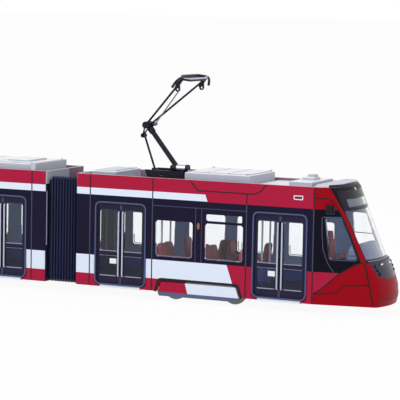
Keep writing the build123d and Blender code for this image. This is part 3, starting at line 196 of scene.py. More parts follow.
def face_turns(tree, number, across):
    """How far a face looks ahead, away from the middle plane, and up, each from -1 to 1."""
    where = add(tree, "ShaderNodeTexCoord")
    turns = add(tree, "ShaderNodeSeparateXYZ", {"Vector": where.outputs["Normal"]})
    ahead = add(tree, "ShaderNodeMath", {
        0: turns.outputs["X"], 1: FACING[number]}, operation="MULTIPLY")
    side = add(tree, "ShaderNodeMath", {0: across}, operation="SIGN")
    away = add(tree, "ShaderNodeMath", {0: turns.outputs["Y"], 1: side}, operation="MULTIPLY")
    return ahead, away, turns.outputs["Z"]


def within(tree, value, low=-FAR, high=FAR):
    """1 where a value lies between two limits, else 0. A limit left out is open."""
    above = add(tree, "ShaderNodeMath", {0: value, 1: low}, operation="GREATER_THAN")
    below = add(tree, "ShaderNodeMath", {0: value, 1: high}, operation="LESS_THAN")
    return add(tree, "ShaderNodeMath", {0: above, 1: below}, operation="MULTIPLY")


def all_of(tree, *tests):
    """1 where every test is 1."""
    joined = tests[0]
    for test in tests[1:]:
        joined = add(tree, "ShaderNodeMath", {0: joined, 1: test}, operation="MULTIPLY")
    return joined


def beyond_line(tree, along, height, rise, reach):
    """1 where along + rise * height passes the reach, else 0."""
    total = add(tree, "ShaderNodeMath", {0: height, 1: rise, 2: along}, operation="MULTIPLY_ADD")
    return add(tree, "ShaderNodeMath", {0: total, 1: reach}, operation="GREATER_THAN")


def print_layers(tree, colour, layers):
    """Prints colours over each other: each covers the last where its test is 1."""
    for test, over in layers:
        colour = add(tree, "ShaderNodeMix", {
            "Factor": test, "A": colour, "B": over}, data_type="RGBA")
    return colour


# %% [markdown]
# ## The printed livery
#
# The body sides are moulded in red ABS and pad-printed: a white band below the windows, a
# charcoal window band, a white stripe above it. Towards each cab a slanted edge ends the
# white. The cab side turns away from the light, so its red and its window band are painted
# in darker copies, as painted shade. Inside, the walls are a slate blue, and the inner side
# of the roof edge is a dull mauve.

# %% Livery colours and edges, in millimetres on a section
# The cab's red and near-black are darker copies of the side's red and charcoal: painted shade,
# because the cab side turns away from the light.
RED, CAB_SHADED_RED, WHITE = "#A81C3C", "#950416", "#DDE6F5"
CHARCOAL, CAB_SHADED_CHARCOAL, GLOSS_BLACK = "#1A162D", "#0D0C19", "#14121C"
WALL_BLUE, MAUVE, RIM_PALE_AND_HIGHLIGHT = "#6583B4", "#8C7486", "#D2C3CE"
END_GREY, END_NAVY = "#B4B7C3", "#1E1F38"
BAND_TOP = 40.0
LIVERY_BANDS = ((0.0, RED), (6.9, WHITE), (13.0, CHARCOAL), (32.6, WHITE), (34.8, RED))
LIVERY_PLAIN = ((0.0, RED), (13.05, CHARCOAL), (32.5, RED))
LIVERY_CAB_SHADED = ((0.0, RED), (13.05, CAB_SHADED_CHARCOAL), (32.5, CAB_SHADED_RED))
SLANT_RISE, SLANT_REACH = 0.356, 14.46
CAB_SEAM = 38.75
PRINT_FINISH = {"roughness": 0.34, "specular": 0.06, "grain": 0.04}


def livery_bands(tree, height, table):
    """A livery table as hard colour steps up the side."""
    share = add(tree, "ShaderNodeMath", {0: height, 1: BAND_TOP}, operation="DIVIDE")
    ramp = add(tree, "ShaderNodeValToRGB", {"Fac": share})
    ramp.color_ramp.interpolation = "CONSTANT"
    elements = ramp.color_ramp.elements
    while len(elements) < len(table):
        elements.new(1.0)
    for element, (edge, code) in zip(elements, table):
        element.position = edge / BAND_TOP
        element.color = srgb(code)
    return ramp


# %% [markdown]
# On the cab the charcoal stops at the red windscreen pillar, and below at a diagonal panel
# joint that runs up to the pillar's foot. In front of the pillar everything above the
# windscreen's lower edge is gloss black. Each of these edges is a straight line in side
# view.

# %% Printed shell material
PILLAR_REAR = (1 / 2.25, 60.95)
PILLAR_LOW = (0.455, 62.35)
PILLAR_HIGH = (0.58, 66.15)
DIAGONAL_LOW, DIAGONAL_HIGH = (-1.095, 32.86), (-1.655, 25.4)
SCREEN_FOOT = 16.55
DOOR_CENTRE, SILL_HALF, SILL_TOP = 27.62, 7.2, 3.66
DECK_TOP, PARAPET_TOP, INNER_Y = 35.2, 39.2, 12.1
END_FACE, SECTION_END, LIGHT_REACH, RIM_FRONT = 42.8, 44.2, 2.4, 41.5
DECK_EDGE, RIM_EDGE = 0.1, 0.15
TURNED, STEEP = 0.3, 0.7


def cab_layers(tree, along, height, cab):
    """The cab's layers over the bands: its red past the pillar and below the diagonal joint, in the
    darker copy that is painted shade, and the printed screen surround.
    """
    past_pillar = beyond_line(tree, along, height, *PILLAR_REAR)
    below_joint = all_of(
        tree, beyond_line(tree, along, height, *DIAGONAL_LOW),
        beyond_line(tree, along, height, *DIAGONAL_HIGH))
    front_low = beyond_line(tree, along, height, *PILLAR_LOW)
    front_high = beyond_line(tree, along, height, *PILLAR_HIGH)
    front = add(tree, "ShaderNodeMath", {0: front_low, 1: front_high}, operation="MAXIMUM")
    above = within(tree, height, low=SCREEN_FOOT)
    return [
        (all_of(tree, past_pillar, cab), CAB_SHADED_RED),
        (all_of(tree, below_joint, cab), CAB_SHADED_RED),
        (all_of(tree, front, above), GLOSS_BLACK),
    ]


def inner_layers(tree, number, along, across, height):
    """Inner walls, roof edge and end walls, told by the way their faces look."""
    ahead, away, up = face_turns(tree, number, across)
    inward = within(tree, away, high=-TURNED)
    below_deck = within(tree, height, high=DECK_TOP)
    above_deck = within(tree, height, low=DECK_TOP - DECK_EDGE)
    steep = add(tree, "ShaderNodeMath", {0: ahead}, operation="ABSOLUTE")
    crosswise = within(tree, steep, low=STEEP)
    in_saloon = all_of(
        tree, crosswise, within(tree, across, -INNER_Y, INNER_Y),
        within(tree, along, -END_FACE, END_FACE))
    ends = [within(tree, along, -SECTION_END, -END_FACE)]
    if number not in CAB_SECTIONS:
        ends.append(within(tree, along, END_FACE, SECTION_END))
    layers = [
        (all_of(tree, inward, below_deck), WALL_BLUE),
        (all_of(tree, in_saloon, below_deck), WALL_BLUE),
        (all_of(tree, inward, above_deck), MAUVE),
    ]
    left_part = within(tree, across, low=LIGHT_REACH)
    for end in ends:
        layers.append((all_of(tree, end, crosswise, below_deck), END_NAVY))
        layers.append((all_of(tree, end, crosswise, above_deck), END_GREY))
        layers.append((all_of(tree, end, crosswise, above_deck, left_part), MAUVE))
    # The parapet's top rim is painted pale: partly its light top face, partly a painted highlight
    # along the edge.
    rim = all_of(
        tree, within(tree, up, low=STEEP),
        within(tree, height, PARAPET_TOP - RIM_EDGE, PARAPET_TOP + RIM_EDGE))
    if number in CAB_SECTIONS:
        # Faces inside the nose, behind the windscreen, take the cab's near-black: painted shade.
        behind_screen = all_of(
            tree, within(tree, ahead, high=-TURNED), within(tree, along, low=SECTION_END))
        layers.append((all_of(tree, rim, within(tree, along, high=RIM_FRONT)), RIM_PALE_AND_HIGHLIGHT))
        layers.append((behind_screen, CAB_SHADED_CHARCOAL))
    else:
        layers.append((rim, RIM_PALE_AND_HIGHLIGHT))
    return layers


def printed_shell(number):
    """Moulded red ABS with the pad-printed livery of one section, and on a cab section the painted
    shade of the cab.
    """
    material, tree, output = new_material(f"printed_abs_shell_{number}")
    along, across, height = section_axes(tree, number)
    colour = livery_bands(tree, height, LIVERY_BANDS)
    layers = []
    if number in CAB_SECTIONS:
        cab = within(tree, along, low=CAB_SEAM)
        ended = beyond_line(tree, along, height, SLANT_RISE, SLANT_REACH)
        layers.append((ended, livery_bands(tree, height, LIVERY_PLAIN)))
        # The cab's bands in their darker copies: painted shade.
        layers.append((cab, livery_bands(tree, height, LIVERY_CAB_SHADED)))
        layers.extend(cab_layers(tree, along, height, cab))
    reach = add(tree, "ShaderNodeMath", {0: along}, operation="ABSOLUTE")
    sill = all_of(
        tree, within(tree, across, high=0.0), within(tree, height, high=SILL_TOP),
        within(tree, reach, DOOR_CENTRE - SILL_HALF, DOOR_CENTRE + SILL_HALF))
    layers.append((sill, WHITE))
    layers.extend(inner_layers(tree, number, along, across, height))
    colour = print_layers(tree, colour, layers)
    plastic_surface(tree, output, colour, **PRINT_FINISH)
    return material


def finish_node(name, material):
    """Gives a CAD node one material in all its slots."""
    mesh = NODES[name].data
    mesh.materials.clear()
    mesh.materials.append(material)


for number in SECTIONS:
    finish_node(f"shell_{number}", printed_shell(number))
print("printed shells", len(SECTIONS))

# %% [markdown]
# ## Clear parts
#
# Windows are crystal polystyrene, clear and very smooth. Its IOR is 1.59, but a closed
# block of that index mirrors more of a white studio than the thin panes of the model do,
# so the value here is lower. Light has to reach the seats behind the panes, and a ray
# tracer would otherwise treat them as dark for shadows, so shadow rays pass through. The
# lower panes of the doors are printed a dusky blue. The windscreen is the same plastic
# with a dark printed border and a clear field for the sign box.

# %% Clear polystyrene
CLEAR_IOR, CLEAR_ROUGH, CLEAR_GRAIN = 1.36, 0.01, 0.008
CLEAR, DUSKY = "#FBFCFE", "#6F86CC"
LOWER_PANE_TOP = 13.5


def clear_polystyrene(tree, tint):
    """A clear moulding that lets shadow rays through, as a shader."""
    pane = add(tree, "ShaderNodeBsdfPrincipled", {
        "Base Color": tint, "Roughness": CLEAR_ROUGH, "IOR": CLEAR_IOR,
        "Transmission Weight": 1.0, "Normal": moulding_grain(tree, CLEAR_GRAIN)})
    open_ray = add(tree, "ShaderNodeBsdfTransparent", {"Color": tint})
    path = add(tree, "ShaderNodeLightPath")
    return add(tree, "ShaderNodeMixShader", {
        0: path.outputs["Is Shadow Ray"], 1: pane, 2: open_ray})


def window_glazing(number):
    """The clear panes of one section, dusky in the lower door panes."""
    material, tree, output = new_material(f"clear_polystyrene_windows_{number}")
    height = section_axes(tree, number)[2]
    tint = print_layers(tree, CLEAR, [(within(tree, height, high=LOWER_PANE_TOP), DUSKY)])
    tree.links.new(clear_polystyrene(tree, tint).outputs[0], output.inputs["Surface"])
    return material


for number in SECTIONS:
    finish_node(f"glazing_{number}", window_glazing(number))

# %% Windscreen with its printed border
SCREEN_CLEAR_TOP = 32.2
SIGN_LOW, SIGN_HIGH, SIGN_HALF = 33.0, 35.6, 7.9
HEADER, HEADER_ROUGH, HEADER_SPECULAR = "#191626", 0.18, 0.3
SCREEN_EDGE, EDGE_SHARPNESS = "#6E6660", 14.0


def printed_windscreen(number):
    """Clear polystyrene with gloss print above the driver's view, open at the sign."""
    material, tree, output = new_material(f"printed_polystyrene_screen_{number}")
    along, across, height = section_axes(tree, number)
    turned = add(tree, "ShaderNodeLayerWeight", {"Blend": 0.5}).outputs["Facing"]
    rim = add(tree, "ShaderNodeMath", {0: turned, 1: EDGE_SHARPNESS}, operation="POWER")
    clear = clear_polystyrene(tree, print_layers(tree, CLEAR, [(rim, SCREEN_EDGE)]))
    print_shader = add(tree, "ShaderNodeBsdfPrincipled", {
        "Base Color": HEADER, "Roughness": HEADER_ROUGH, "IOR": CLEAR_IOR,
        "Specular IOR Level": HEADER_SPECULAR})
    upper = within(tree, height, low=SCREEN_CLEAR_TOP)
    sign = all_of(
        tree, within(tree, height, SIGN_LOW, SIGN_HIGH),
        within(tree, across, -SIGN_HALF, SIGN_HALF))
    dark = add(tree, "ShaderNodeMath", {0: upper, 1: sign}, operation="SUBTRACT")
    mix = add(tree, "ShaderNodeMixShader", {0: dark, 1: clear, 2: print_shader})
    tree.links.new(mix.outputs[0], output.inputs["Surface"])
    return material


for number, end in CAB_SECTIONS.items():
    finish_node(f"windscreen_{end}", printed_windscreen(number))
print("glazing and windscreens", len(SECTIONS) + len(CAB_SECTIONS))

# %% [markdown]
# ## Roofs and cabins
#
# Roofs are light grey ABS. Over each cab the roof ends in a cap, pale on top, whose front
# edge takes up the gloss black of the windscreen's header. Inside, seats and the driver's
# chair are maroon, wheel housings pale, and the desk a slate grey.

# %% Roofs with their dark front edge
ROOF_LIGHT, ROOF_DARK, ROOF_TOP_LIT = "#BCBFCD", "#B0B3C3", "#F1F2F6"
CAP_PALE = "#C6C9DA"
CAP_START, CAP_FRONT, CAP_FOOT, CAP_EDGE = 38.8, 45.4, 39.25, 39.98
CAP_SIDE_START, UNIT_FOOT, ROOF_LEVEL = 42.9, 39.6, 0.6


def moulded_roof(number):
    """Light grey ABS, gloss black along the cab's front edge; the roof units' upward faces are
    painted whiter as painted light.
    """
    material, tree, output = new_material(f"roof_grey_abs_{number}")
    along, across, height = section_axes(tree, number)
    up = face_turns(tree, number, across)[2]
    # Upward faces of the roof units, painted whiter: painted light from above.
    lit_unit_top = all_of(
        tree, within(tree, up, low=ROOF_LEVEL), within(tree, height, low=UNIT_FOOT))
    layers = [(lit_unit_top, ROOF_TOP_LIT)]
    if number in CAB_SECTIONS:
        on_cap = all_of(
            tree, within(tree, along, low=CAP_START), within(tree, height, low=CAP_FOOT))
        front = within(tree, along, low=CAP_FRONT)
        edge = all_of(
            tree, within(tree, height, high=CAP_EDGE), within(tree, along, low=CAP_SIDE_START))
        layers += [
            (on_cap, CAP_PALE), (all_of(tree, front, on_cap), GLOSS_BLACK),
            (all_of(tree, edge, on_cap), GLOSS_BLACK)]
    colour = print_layers(tree, mottled(tree, ROOF_LIGHT, ROOF_DARK), layers)
    plastic_surface(tree, output, colour, roughness=0.38)
    return material


for number in SECTIONS:
    finish_node(f"roof_{number}", moulded_roof(number))

# %% Seats, wheel housings and poles
HOUSING_TOP = 9.95
POLE_ALONG, POLE_ACROSS, POLE_ROOM = 17.6, 3.2, 0.5
SEAT_LIGHT, SEAT_DARK = "#8A2C40", "#752235"
HOUSING_PALE, POLE_SILVER = "#B4B6CC", "#D5D9E6"


def saloon_fittings(number):
    """Maroon seats on pale wheel housings, with silver poles."""
    material, tree, output = new_material(f"maroon_and_grey_abs_saloon_{number}")
    along, across, height = section_axes(tree, number)
    reach = add(tree, "ShaderNodeMath", {0: along}, operation="ABSOLUTE")
    aside = add(tree, "ShaderNodeMath", {0: across}, operation="ABSOLUTE")
    housing = within(tree, height, high=HOUSING_TOP)
    pole = all_of(
        tree, within(tree, reach, POLE_ALONG - POLE_ROOM, POLE_ALONG + POLE_ROOM),
        within(tree, aside, POLE_ACROSS - POLE_ROOM, POLE_ACROSS + POLE_ROOM))
    layers = [(housing, HOUSING_PALE), (pole, POLE_SILVER)]
    colour = print_layers(tree, mottled(tree, SEAT_LIGHT, SEAT_DARK), layers)
    plastic_surface(tree, output, colour, roughness=0.5)
    return material


for number in SECTIONS:
    finish_node(f"interior_{number}", saloon_fittings(number))

# %% Driver's desk, chair and sign box
CHAIR_FRONT, CHAIR_TOP, SIGN_BOX_FOOT, DISPLAY_TURN = 47.5, 19.0, 31.0, 0.4
DESK_LIGHT, DESK_DARK, DISPLAY = "#6A7694", "#5E6A88", "#5C6888"


def cab_fittings(number):
    """Slate desk, maroon chair and a sign box with a pale, blank display."""
    material, tree, output = new_material(f"slate_abs_cab_fittings_{number}")
    along, across, height = section_axes(tree, number)
    ahead = face_turns(tree, number, across)[0]
    chair = all_of(
        tree, within(tree, along, high=CHAIR_FRONT), within(tree, height, high=CHAIR_TOP))
    box = within(tree, height, low=SIGN_BOX_FOOT)
    display = all_of(tree, box, within(tree, ahead, low=DISPLAY_TURN))
    layers = [(chair, SEAT_LIGHT), (box, GLOSS_BLACK), (display, DISPLAY)]
    colour = print_layers(tree, mottled(tree, DESK_LIGHT, DESK_DARK), layers)
    plastic_surface(tree, output, colour, roughness=0.42)
    return material


for number, end in CAB_SECTIONS.items():
    finish_node(f"cab_fittings_{end}", cab_fittings(number))

# %% [markdown]
# ## The other plastics and metals
#
# Doors are charcoal ABS. The underframe and the bogies are black. Wheels are turned nickel
# silver, and the pantograph is etched and cast metal, chemically blackened, which leaves a
# dull, slightly uneven surface.

# %% Plain finishes for the remaining nodes
door_abs = moulded_plastic("door_charcoal_abs", "#221E38", "#1C1830", 0.34, 0.15)
frame_abs = moulded_plastic("black_abs_underframe", "#1D1D24", "#15151B", 0.55)
lamp_black = moulded_plastic("gloss_black_lamp_panel", "#2A2740", "#222036", 0.2, 0.25)
pod_black = moulded_plastic("black_abs_camera_pods", "#101016", "#0B0B10", 0.35)
BLACK_COLOURS, GUIDE_COLOURS = ("#2B2833", "#1D1B25"), ("#8A8894", "#7A7884")
PATINA_MM, PATINA_GRAIN, TURNING_MM = 0.8, 0.15, 0.3


def blackened_metal(tree, output, colour):
    """Chemically blackened metal: metallic, IOR left at its default, dull and uneven."""
    where = add(tree, "ShaderNodeTexCoord")
    patina = add(tree, "ShaderNodeTexNoise", {
        "Vector": where.outputs["Object"], "Scale": 1 / (PATINA_MM * MM), "Detail": 4.0})
    rough = add(tree, "ShaderNodeMapRange", {"Value": patina, "To Min": 0.35, "To Max": 0.6})
    shader = add(tree, "ShaderNodeBsdfPrincipled", {
        "Base Color": colour, "Metallic": 0.5, "Specular IOR Level": 0.2,
        "Roughness": rough, "Normal": moulding_grain(tree, PATINA_GRAIN)})
    tree.links.new(shader.outputs["BSDF"], output.inputs["Surface"])


def turned_metal(name, light, dark):
    """Metal off the lathe: fine turning marks on a warm grey mirror."""
    material, tree, output = new_material(name)
    where = add(tree, "ShaderNodeTexCoord")
    marks = add(tree, "ShaderNodeTexNoise", {
        "Vector": where.outputs["Object"], "Scale": 1 / (TURNING_MM * MM), "Detail": 2.0})
    rough = add(tree, "ShaderNodeMapRange", {"Value": marks, "To Min": 0.2, "To Max": 0.35})
    shader = add(tree, "ShaderNodeBsdfPrincipled", {
        "Base Color": mottled(tree, light, dark), "Metallic": 1.0, "Roughness": rough})
    tree.links.new(shader.outputs["BSDF"], output.inputs["Surface"])
    return material


nickel_silver = turned_metal("turned_nickel_silver", "#7B766E", "#67625B")
for number in SECTIONS:
    finish_node(f"doors_{number}", door_abs)
    finish_node(f"floor_{number}", frame_abs)
    finish_node(f"bogie_{number}", frame_abs)
    for end in ("front", "rear"):
        finish_node(f"wheelset_{number}_{end}", nickel_silver)
for end in CAB_SECTIONS.values():
    finish_node(f"lamp_panel_{end}", lamp_black)
finish_node("camera_pods", pod_black)

# %% Pantograph in blackened metal with its bright parts
STRIP_PITCH = math.radians(22)
STRIP_AT = (-8.6, 71.2)
STRIP_REAR, STRIP_WORN = 0.6, -0.22
BRIGHT = "#B6B8CC"


def pantograph_metal(name):
    """Blackened metal with a bright front contact strip and a paler guide rod."""
    material, tree, output = new_material(f"blackened_metal_{name}")
    along, across, height = section_axes(tree, 1)
    layers = []
    if name == "panto_head":
        forward = add(tree, "ShaderNodeMath", {0: along, 1: -STRIP_AT[0]}, operation="ADD")
        upward = add(tree, "ShaderNodeMath", {0: height, 1: -STRIP_AT[1]}, operation="ADD")
        rise, run = math.sin(STRIP_PITCH), math.cos(STRIP_PITCH)
        sunk = add(tree, "ShaderNodeMath", {0: upward, 1: -rise}, operation="MULTIPLY")
        along_head = add(tree, "ShaderNodeMath", {
            0: forward, 1: run, 2: sunk}, operation="MULTIPLY_ADD")
        lift = add(tree, "ShaderNodeMath", {0: forward, 1: rise}, operation="MULTIPLY")
        above_head = add(tree, "ShaderNodeMath", {
            0: upward, 1: run, 2: lift}, operation="MULTIPLY_ADD")
        worn = all_of(
            tree, within(tree, along_head, low=STRIP_REAR),
            within(tree, above_head, low=STRIP_WORN))
        layers.append((worn, BRIGHT))
    base = GUIDE_COLOURS if name == "panto_guide_rod" else BLACK_COLOURS
    blackened_metal(tree, output, print_layers(tree, mottled(tree, *base), layers))
    return material


for name in NODES:
    if name.startswith("panto_"):
        finish_node(name, pantograph_metal(name))
bright_metal = turned_metal("turned_bright_drive", "#C4C6D4", "#B0B3C4")
smoke_black = moulded_plastic("black_drive_cap", "#15131C", "#0F0E15", 0.4)

# %% Printed bogie covers
COVER_SPLIT = (0.29, -2.7)
COVER_GREY, COVER_GREY_TOP = "#5A6284", 2.9


def printed_cover(number):
    """Red and white print over a grey lower edge."""
    material, tree, output = new_material(f"printed_abs_cover_{number}")
    along, across, height = section_axes(tree, number)
    white_part = beyond_line(tree, along, height, *COVER_SPLIT)
    lower = within(tree, height, high=COVER_GREY_TOP)
    colour = print_layers(tree, RED, [(white_part, WHITE), (lower, COVER_GREY)])
    plastic_surface(tree, output, colour, **PRINT_FINISH)
    return material


for number in SECTIONS:
    finish_node(f"bogie_covers_{number}", printed_cover(number))
print("materials", len(bpy.data.materials))

# %% [markdown]
# ## Lines drawn on the body
#
# Panel joints, door seals and window beads on such a model are fine raised or printed
# lines, a fifth to three quarters of a millimetre wide. Each is drawn here as points in a
# side or front view, then laid onto the moulding: a ray from outside finds the surface at
# every point, and a thin strip follows it, sunk a little so that no edge floats.

# %% Drawing lines
SPACING, CORNER_STEPS, CORNER_LIMIT = 0.7, 6, 0.48


def rounded_line(corners, radius=0.0, closed=False):
    """A drawn line with its corners rounded, as even points in the view's plane."""
    points = [Vector(corner) for corner in corners]
    line = []
    for i, point in enumerate(points):
        inner = closed or 0 < i < len(points) - 1
        if radius == 0.0 or not inner:
            line.append(point)
            continue
        before, after = points[i - 1], points[(i + 1) % len(points)]
        back, on = (before - point), (after - point)
        room = CORNER_LIMIT * min(back.length, on.length)
        cut = min(radius / math.tan(back.angle(on) / 2), room)
        start, end = point + back.normalized() * cut, point + on.normalized() * cut
        for step in range(CORNER_STEPS + 1):
            share = step / CORNER_STEPS
            line.append(start.lerp(point, share).lerp(point.lerp(end, share), share))
    if closed:
        line.append(line[0])
    even = [line[0]]
    for a, b in zip(line, line[1:]):
        pieces = max(1, math.ceil((b - a).length / SPACING))
        even.extend(a.lerp(b, (k + 1) / pieces) for k in range(pieces))
    return even


# %% Surfaces to lay them on
def surface_of(names):
    """One search tree over the faces of several CAD nodes, in metres."""
    points, faces = [], []
    for name in names:
        first = len(points)
        mesh = NODES[name].data
        points.extend(vertex.co.copy() for vertex in mesh.vertices)
        faces.extend([first + i for i in polygon.vertices] for polygon in mesh.polygons)
    return BVHTree.FromPolygons(points, faces)


SURFACES = {}
for number in SECTIONS:
    names = [f"{kind}_{number}" for kind in ("shell", "doors", "glazing", "bogie_covers", "roof")]
    if number in CAB_SECTIONS:
        end = CAB_SECTIONS[number]
        names += [f"windscreen_{end}", f"lamp_panel_{end}"]
    SURFACES[number] = surface_of(names)
print("surfaces", len(SURFACES))


EYE_AHEAD, EYE_ASIDE = 90.0, 40.0
WALL_REACH, WALL_LEAST, WALL_Y = 38.7, 12.2, 13.2


def look(number, view, point):
    """The ray that draws a point of a view: where it starts and which way it goes."""
    if view == "front":
        return place(number, EYE_AHEAD, point[0], point[1]), Vector((-FACING[number], 0, 0))
    return place(number, point[0], view * EYE_ASIDE, point[1]), Vector((0, -view, 0))


def on_surface(number, view, point):
    """Where a drawn point lies, with the way back to the eye. Over a gap it is the wall's plane."""
    start, way = look(number, view, point)
    hit = SURFACES[number].ray_cast(start, way)[0]
    if view in (RIGHT, LEFT) and abs(point[0]) < WALL_REACH:
        if hit is None or hit.y * view < WALL_LEAST * MM:
            hit = place(number, point[0], view * WALL_Y, point[1])
    return hit, -way


# %% Pieces from points and faces
def make_piece(name, body, material, points, faces, smooth=False):
    """A mesh in metres, as a piece that rides on a body."""
    mesh = bpy.data.meshes.new(name)
    mesh.from_pydata(points, [], faces)
    mesh.polygons.foreach_set("use_smooth", [smooth] * len(mesh.polygons))
    mesh.materials.append(material)
    mesh.update()
    piece = bpy.data.objects.new(name, mesh)
    bpy.context.scene.collection.objects.link(piece)
    if body:
        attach(piece, body)
    return piece


LINE_PROUD, LINE_SUNK = 0.05, 0.06


def add_strip(points, faces, number, view, line, width, closed, proud):
    """One strip along a drawn line, added to a piece's points and faces."""
    rows = []
    last = len(line) - 1
    for i, point in enumerate(line):
        before = line[last - 1] if closed and i == 0 else line[max(i - 1, 0)]
        after = line[1] if closed and i == last else line[min(i + 1, last)]
        run = (after - before).normalized()
        beside = Vector((-run.y, run.x)) * width / 2
        row = []
        for edge in (point - beside, point + beside):
            hit, out = on_surface(number, view, edge)
            if hit is None:
                break
            row += [hit + out * proud * MM, hit - out * LINE_SUNK * MM]
        if len(row) == 4:
            first = len(points)
            points += row
            rows.append(first)
    for a, b in zip(rows, rows[1:]):
        for i, j in ((0, 2), (2, 3), (3, 1), (1, 0)):
            faces.append((a + i, a + j, b + j, b + i))
    if rows and not closed:
        for end in (rows[0], rows[-1]):
            faces.append((end, end + 1, end + 3, end + 2))


def strip(view, corners, width, radius=0.0, closed=False):
    """One line to draw: its view, its corners, how wide it is and how round it turns."""
    return view, corners, width, radius, closed


def drawn_piece(name, number, material, strips, proud=LINE_PROUD):
    """A section's lines of one kind as one piece."""
    points, faces = [], []
    for view, corners, width, radius, closed in strips:
        line = rounded_line(corners, radius, closed)
        add_strip(points, faces, number, view, line, width, closed, proud)
    return make_piece(name, f"car_{number}", material, points, faces)


# %% [markdown]
# ## Panel joints
#
# Vertical joints split each side into panels: dark where they cross the red and the white,
# and picked out in slate on the charcoal. One material does both, by height. The long
# shallow groove on the end sections outlines a roof-edge flap.

# %% Joint finishes and the body joints
JOINT_DARK, JOINT_SLATE, JOINT_SOFT = "#24101E", "#4A4F6E", "#413F5C"
JOINT_WIDTH, HAIRLINE = 0.36, 0.24
SLATE_FOOT, SLATE_TOP = 13.05, 32.55


def printed_joint():
    """Dark ink on red and white, slate on the charcoal."""
    material, tree, output = new_material("printed_panel_joint")
    height = section_axes(tree, 1)[2]
    layers = [(within(tree, height, SLATE_FOOT, SLATE_TOP), JOINT_SOFT)]
    colour = print_layers(tree, JOINT_DARK, layers)
    plastic_surface(tree, output, colour, roughness=0.5)
    return material


joint_print = printed_joint()
dark_ink = moulded_plastic("dark_joint_ink", "#1C0A14", "#14060E", 0.5)
slate_ink = moulded_plastic("slate_line_ink", JOINT_SLATE, "#444966", 0.5)
soft_ink = moulded_plastic("soft_line_ink", JOINT_SOFT, "#403D5C", 0.5)
SEAMS_AT, SEAM_FOOT, SEAM_TOP = (-38.7, -16.3, 16.3, 38.7), 3.3, 39.05
BAY_HALF, BAY_TOP, BAY_FOOT, BAY_POSTS = 16.15, 30.4, 13.2, (-1.13, 0.96)
FLAP_SEAM, FLAP_FOOT, FLAP_TURN = 16.3, 35.9, 1.0
FLAP_GROOVE = (
    (-3.3, SEAM_TOP), (-0.7, 35.95), (18.7, FLAP_FOOT), (20.8, 36.8), (22.7, SEAM_TOP))

for number in SECTIONS:
    seams, hairlines = [], []
    for view in (RIGHT, LEFT):
        for along in SEAMS_AT:
            top = FLAP_FOOT if number in CAB_SECTIONS and along == FLAP_SEAM else SEAM_TOP
            seams.append(strip(view, ((along, SEAM_FOOT), (along, top)), JOINT_WIDTH))
        hairlines.append(strip(view, ((-BAY_HALF, BAY_TOP), (BAY_HALF, BAY_TOP)), HAIRLINE))
        for along in BAY_POSTS:
            hairlines.append(strip(view, ((along, BAY_FOOT), (along, BAY_TOP)), HAIRLINE))
        if number in CAB_SECTIONS:
            seams.append(strip(view, FLAP_GROOVE, JOINT_WIDTH, FLAP_TURN))
    drawn_piece(f"panel_joints_{number}", number, joint_print, seams)
    drawn_piece(f"bay_lines_{number}", number, soft_ink, hairlines)
print("panel joints on", len(SECTIONS), "sections")

# %% [markdown]
# ## Doors
#
# Each double door has a slate rubber seal round it, a joint down the middle, thin bright
# mouldings above and below the cross bar, and two long grab bars beside the joint. A blank
# white plate sits low on the rear leaf, and a pale step shows under the sill.

# %% Seals, mouldings and plates
DOORS_AT = (-DOOR_CENTRE, DOOR_CENTRE)
SEAL_HALF, SEAL_FOOT, SEAL_TOP = 8.95, 3.95, 30.45
SEAL_TURN, SEAL_WIDTH, SEAL_PROUD = 2.1, 0.42, 0.16
PANE_INNER, PANE_OUTER, PANE_HEAD = 1.35, 7.45, 27.95
DOOR_BARS = (14.75, 13.25, 6.75)
LEAF_JOINTS, LEAF_WIDTH = ((28.0, 30.1), (4.3, 6.6)), 0.7
PLATE_SPAN, PLATE_UP, PLATE_WIDTH, PLATE_PROUD = (-3.9, -1.5), 11.5, 1.65, 0.08
seal_rubber = moulded_plastic("slate_seal_rubber", "#515C84", "#475178", 0.5)
pale_moulding = moulded_plastic("pale_printed_moulding", "#A29DB4", "#9692A8", 0.4)
plate_white = moulded_plastic("white_polystyrene_plate", "#EEF1F8", "#E6EAF3", 0.35)


def box_line(centre, half, foot, top):
    """The four corners of an upright rectangle."""
    rear, front = centre - half, centre + half
    return (rear, foot), (front, foot), (front, top), (rear, top)


for number in SECTIONS:
    seals, middles, mouldings, plates = [], [], [], []
    for centre in DOORS_AT:
        outline = box_line(centre, SEAL_HALF, SEAL_FOOT, SEAL_TOP)
        seals.append(strip(RIGHT, outline, SEAL_WIDTH, SEAL_TURN, closed=True))
        for foot, top in LEAF_JOINTS:
            middles.append(strip(RIGHT, ((centre, foot), (centre, top)), LEAF_WIDTH))
        for leaf in (-1, 1):
            inner, outer = centre + leaf * PANE_INNER, centre + leaf * PANE_OUTER
            for height in DOOR_BARS:
                mouldings.append(strip(RIGHT, ((inner, height), (outer, height)), HAIRLINE))
            middles.append(strip(RIGHT, ((inner, PANE_HEAD), (outer, PANE_HEAD)), HAIRLINE))
        plate = tuple((centre + along, PLATE_UP) for along in PLATE_SPAN)
        plates.append(strip(RIGHT, plate, PLATE_WIDTH))
    drawn_piece(f"door_seals_{number}", number, seal_rubber, seals, SEAL_PROUD)
    drawn_piece(f"door_joints_{number}", number, soft_ink, middles)
    drawn_piece(f"door_mouldings_{number}", number, pale_moulding, mouldings)
    drawn_piece(f"door_plates_{number}", number, plate_white, plates, PLATE_PROUD)
print("door seals", 2 * len(SECTIONS))


# %% Tubes, for bars and the pantograph's drive
def ring_faces(a, b, count):
    """The faces between two rings of points, each given by the place of its first point."""
    return [(a + k, a + (k + 1) % count, b + (k + 1) % count, b + k) for k in range(count)]


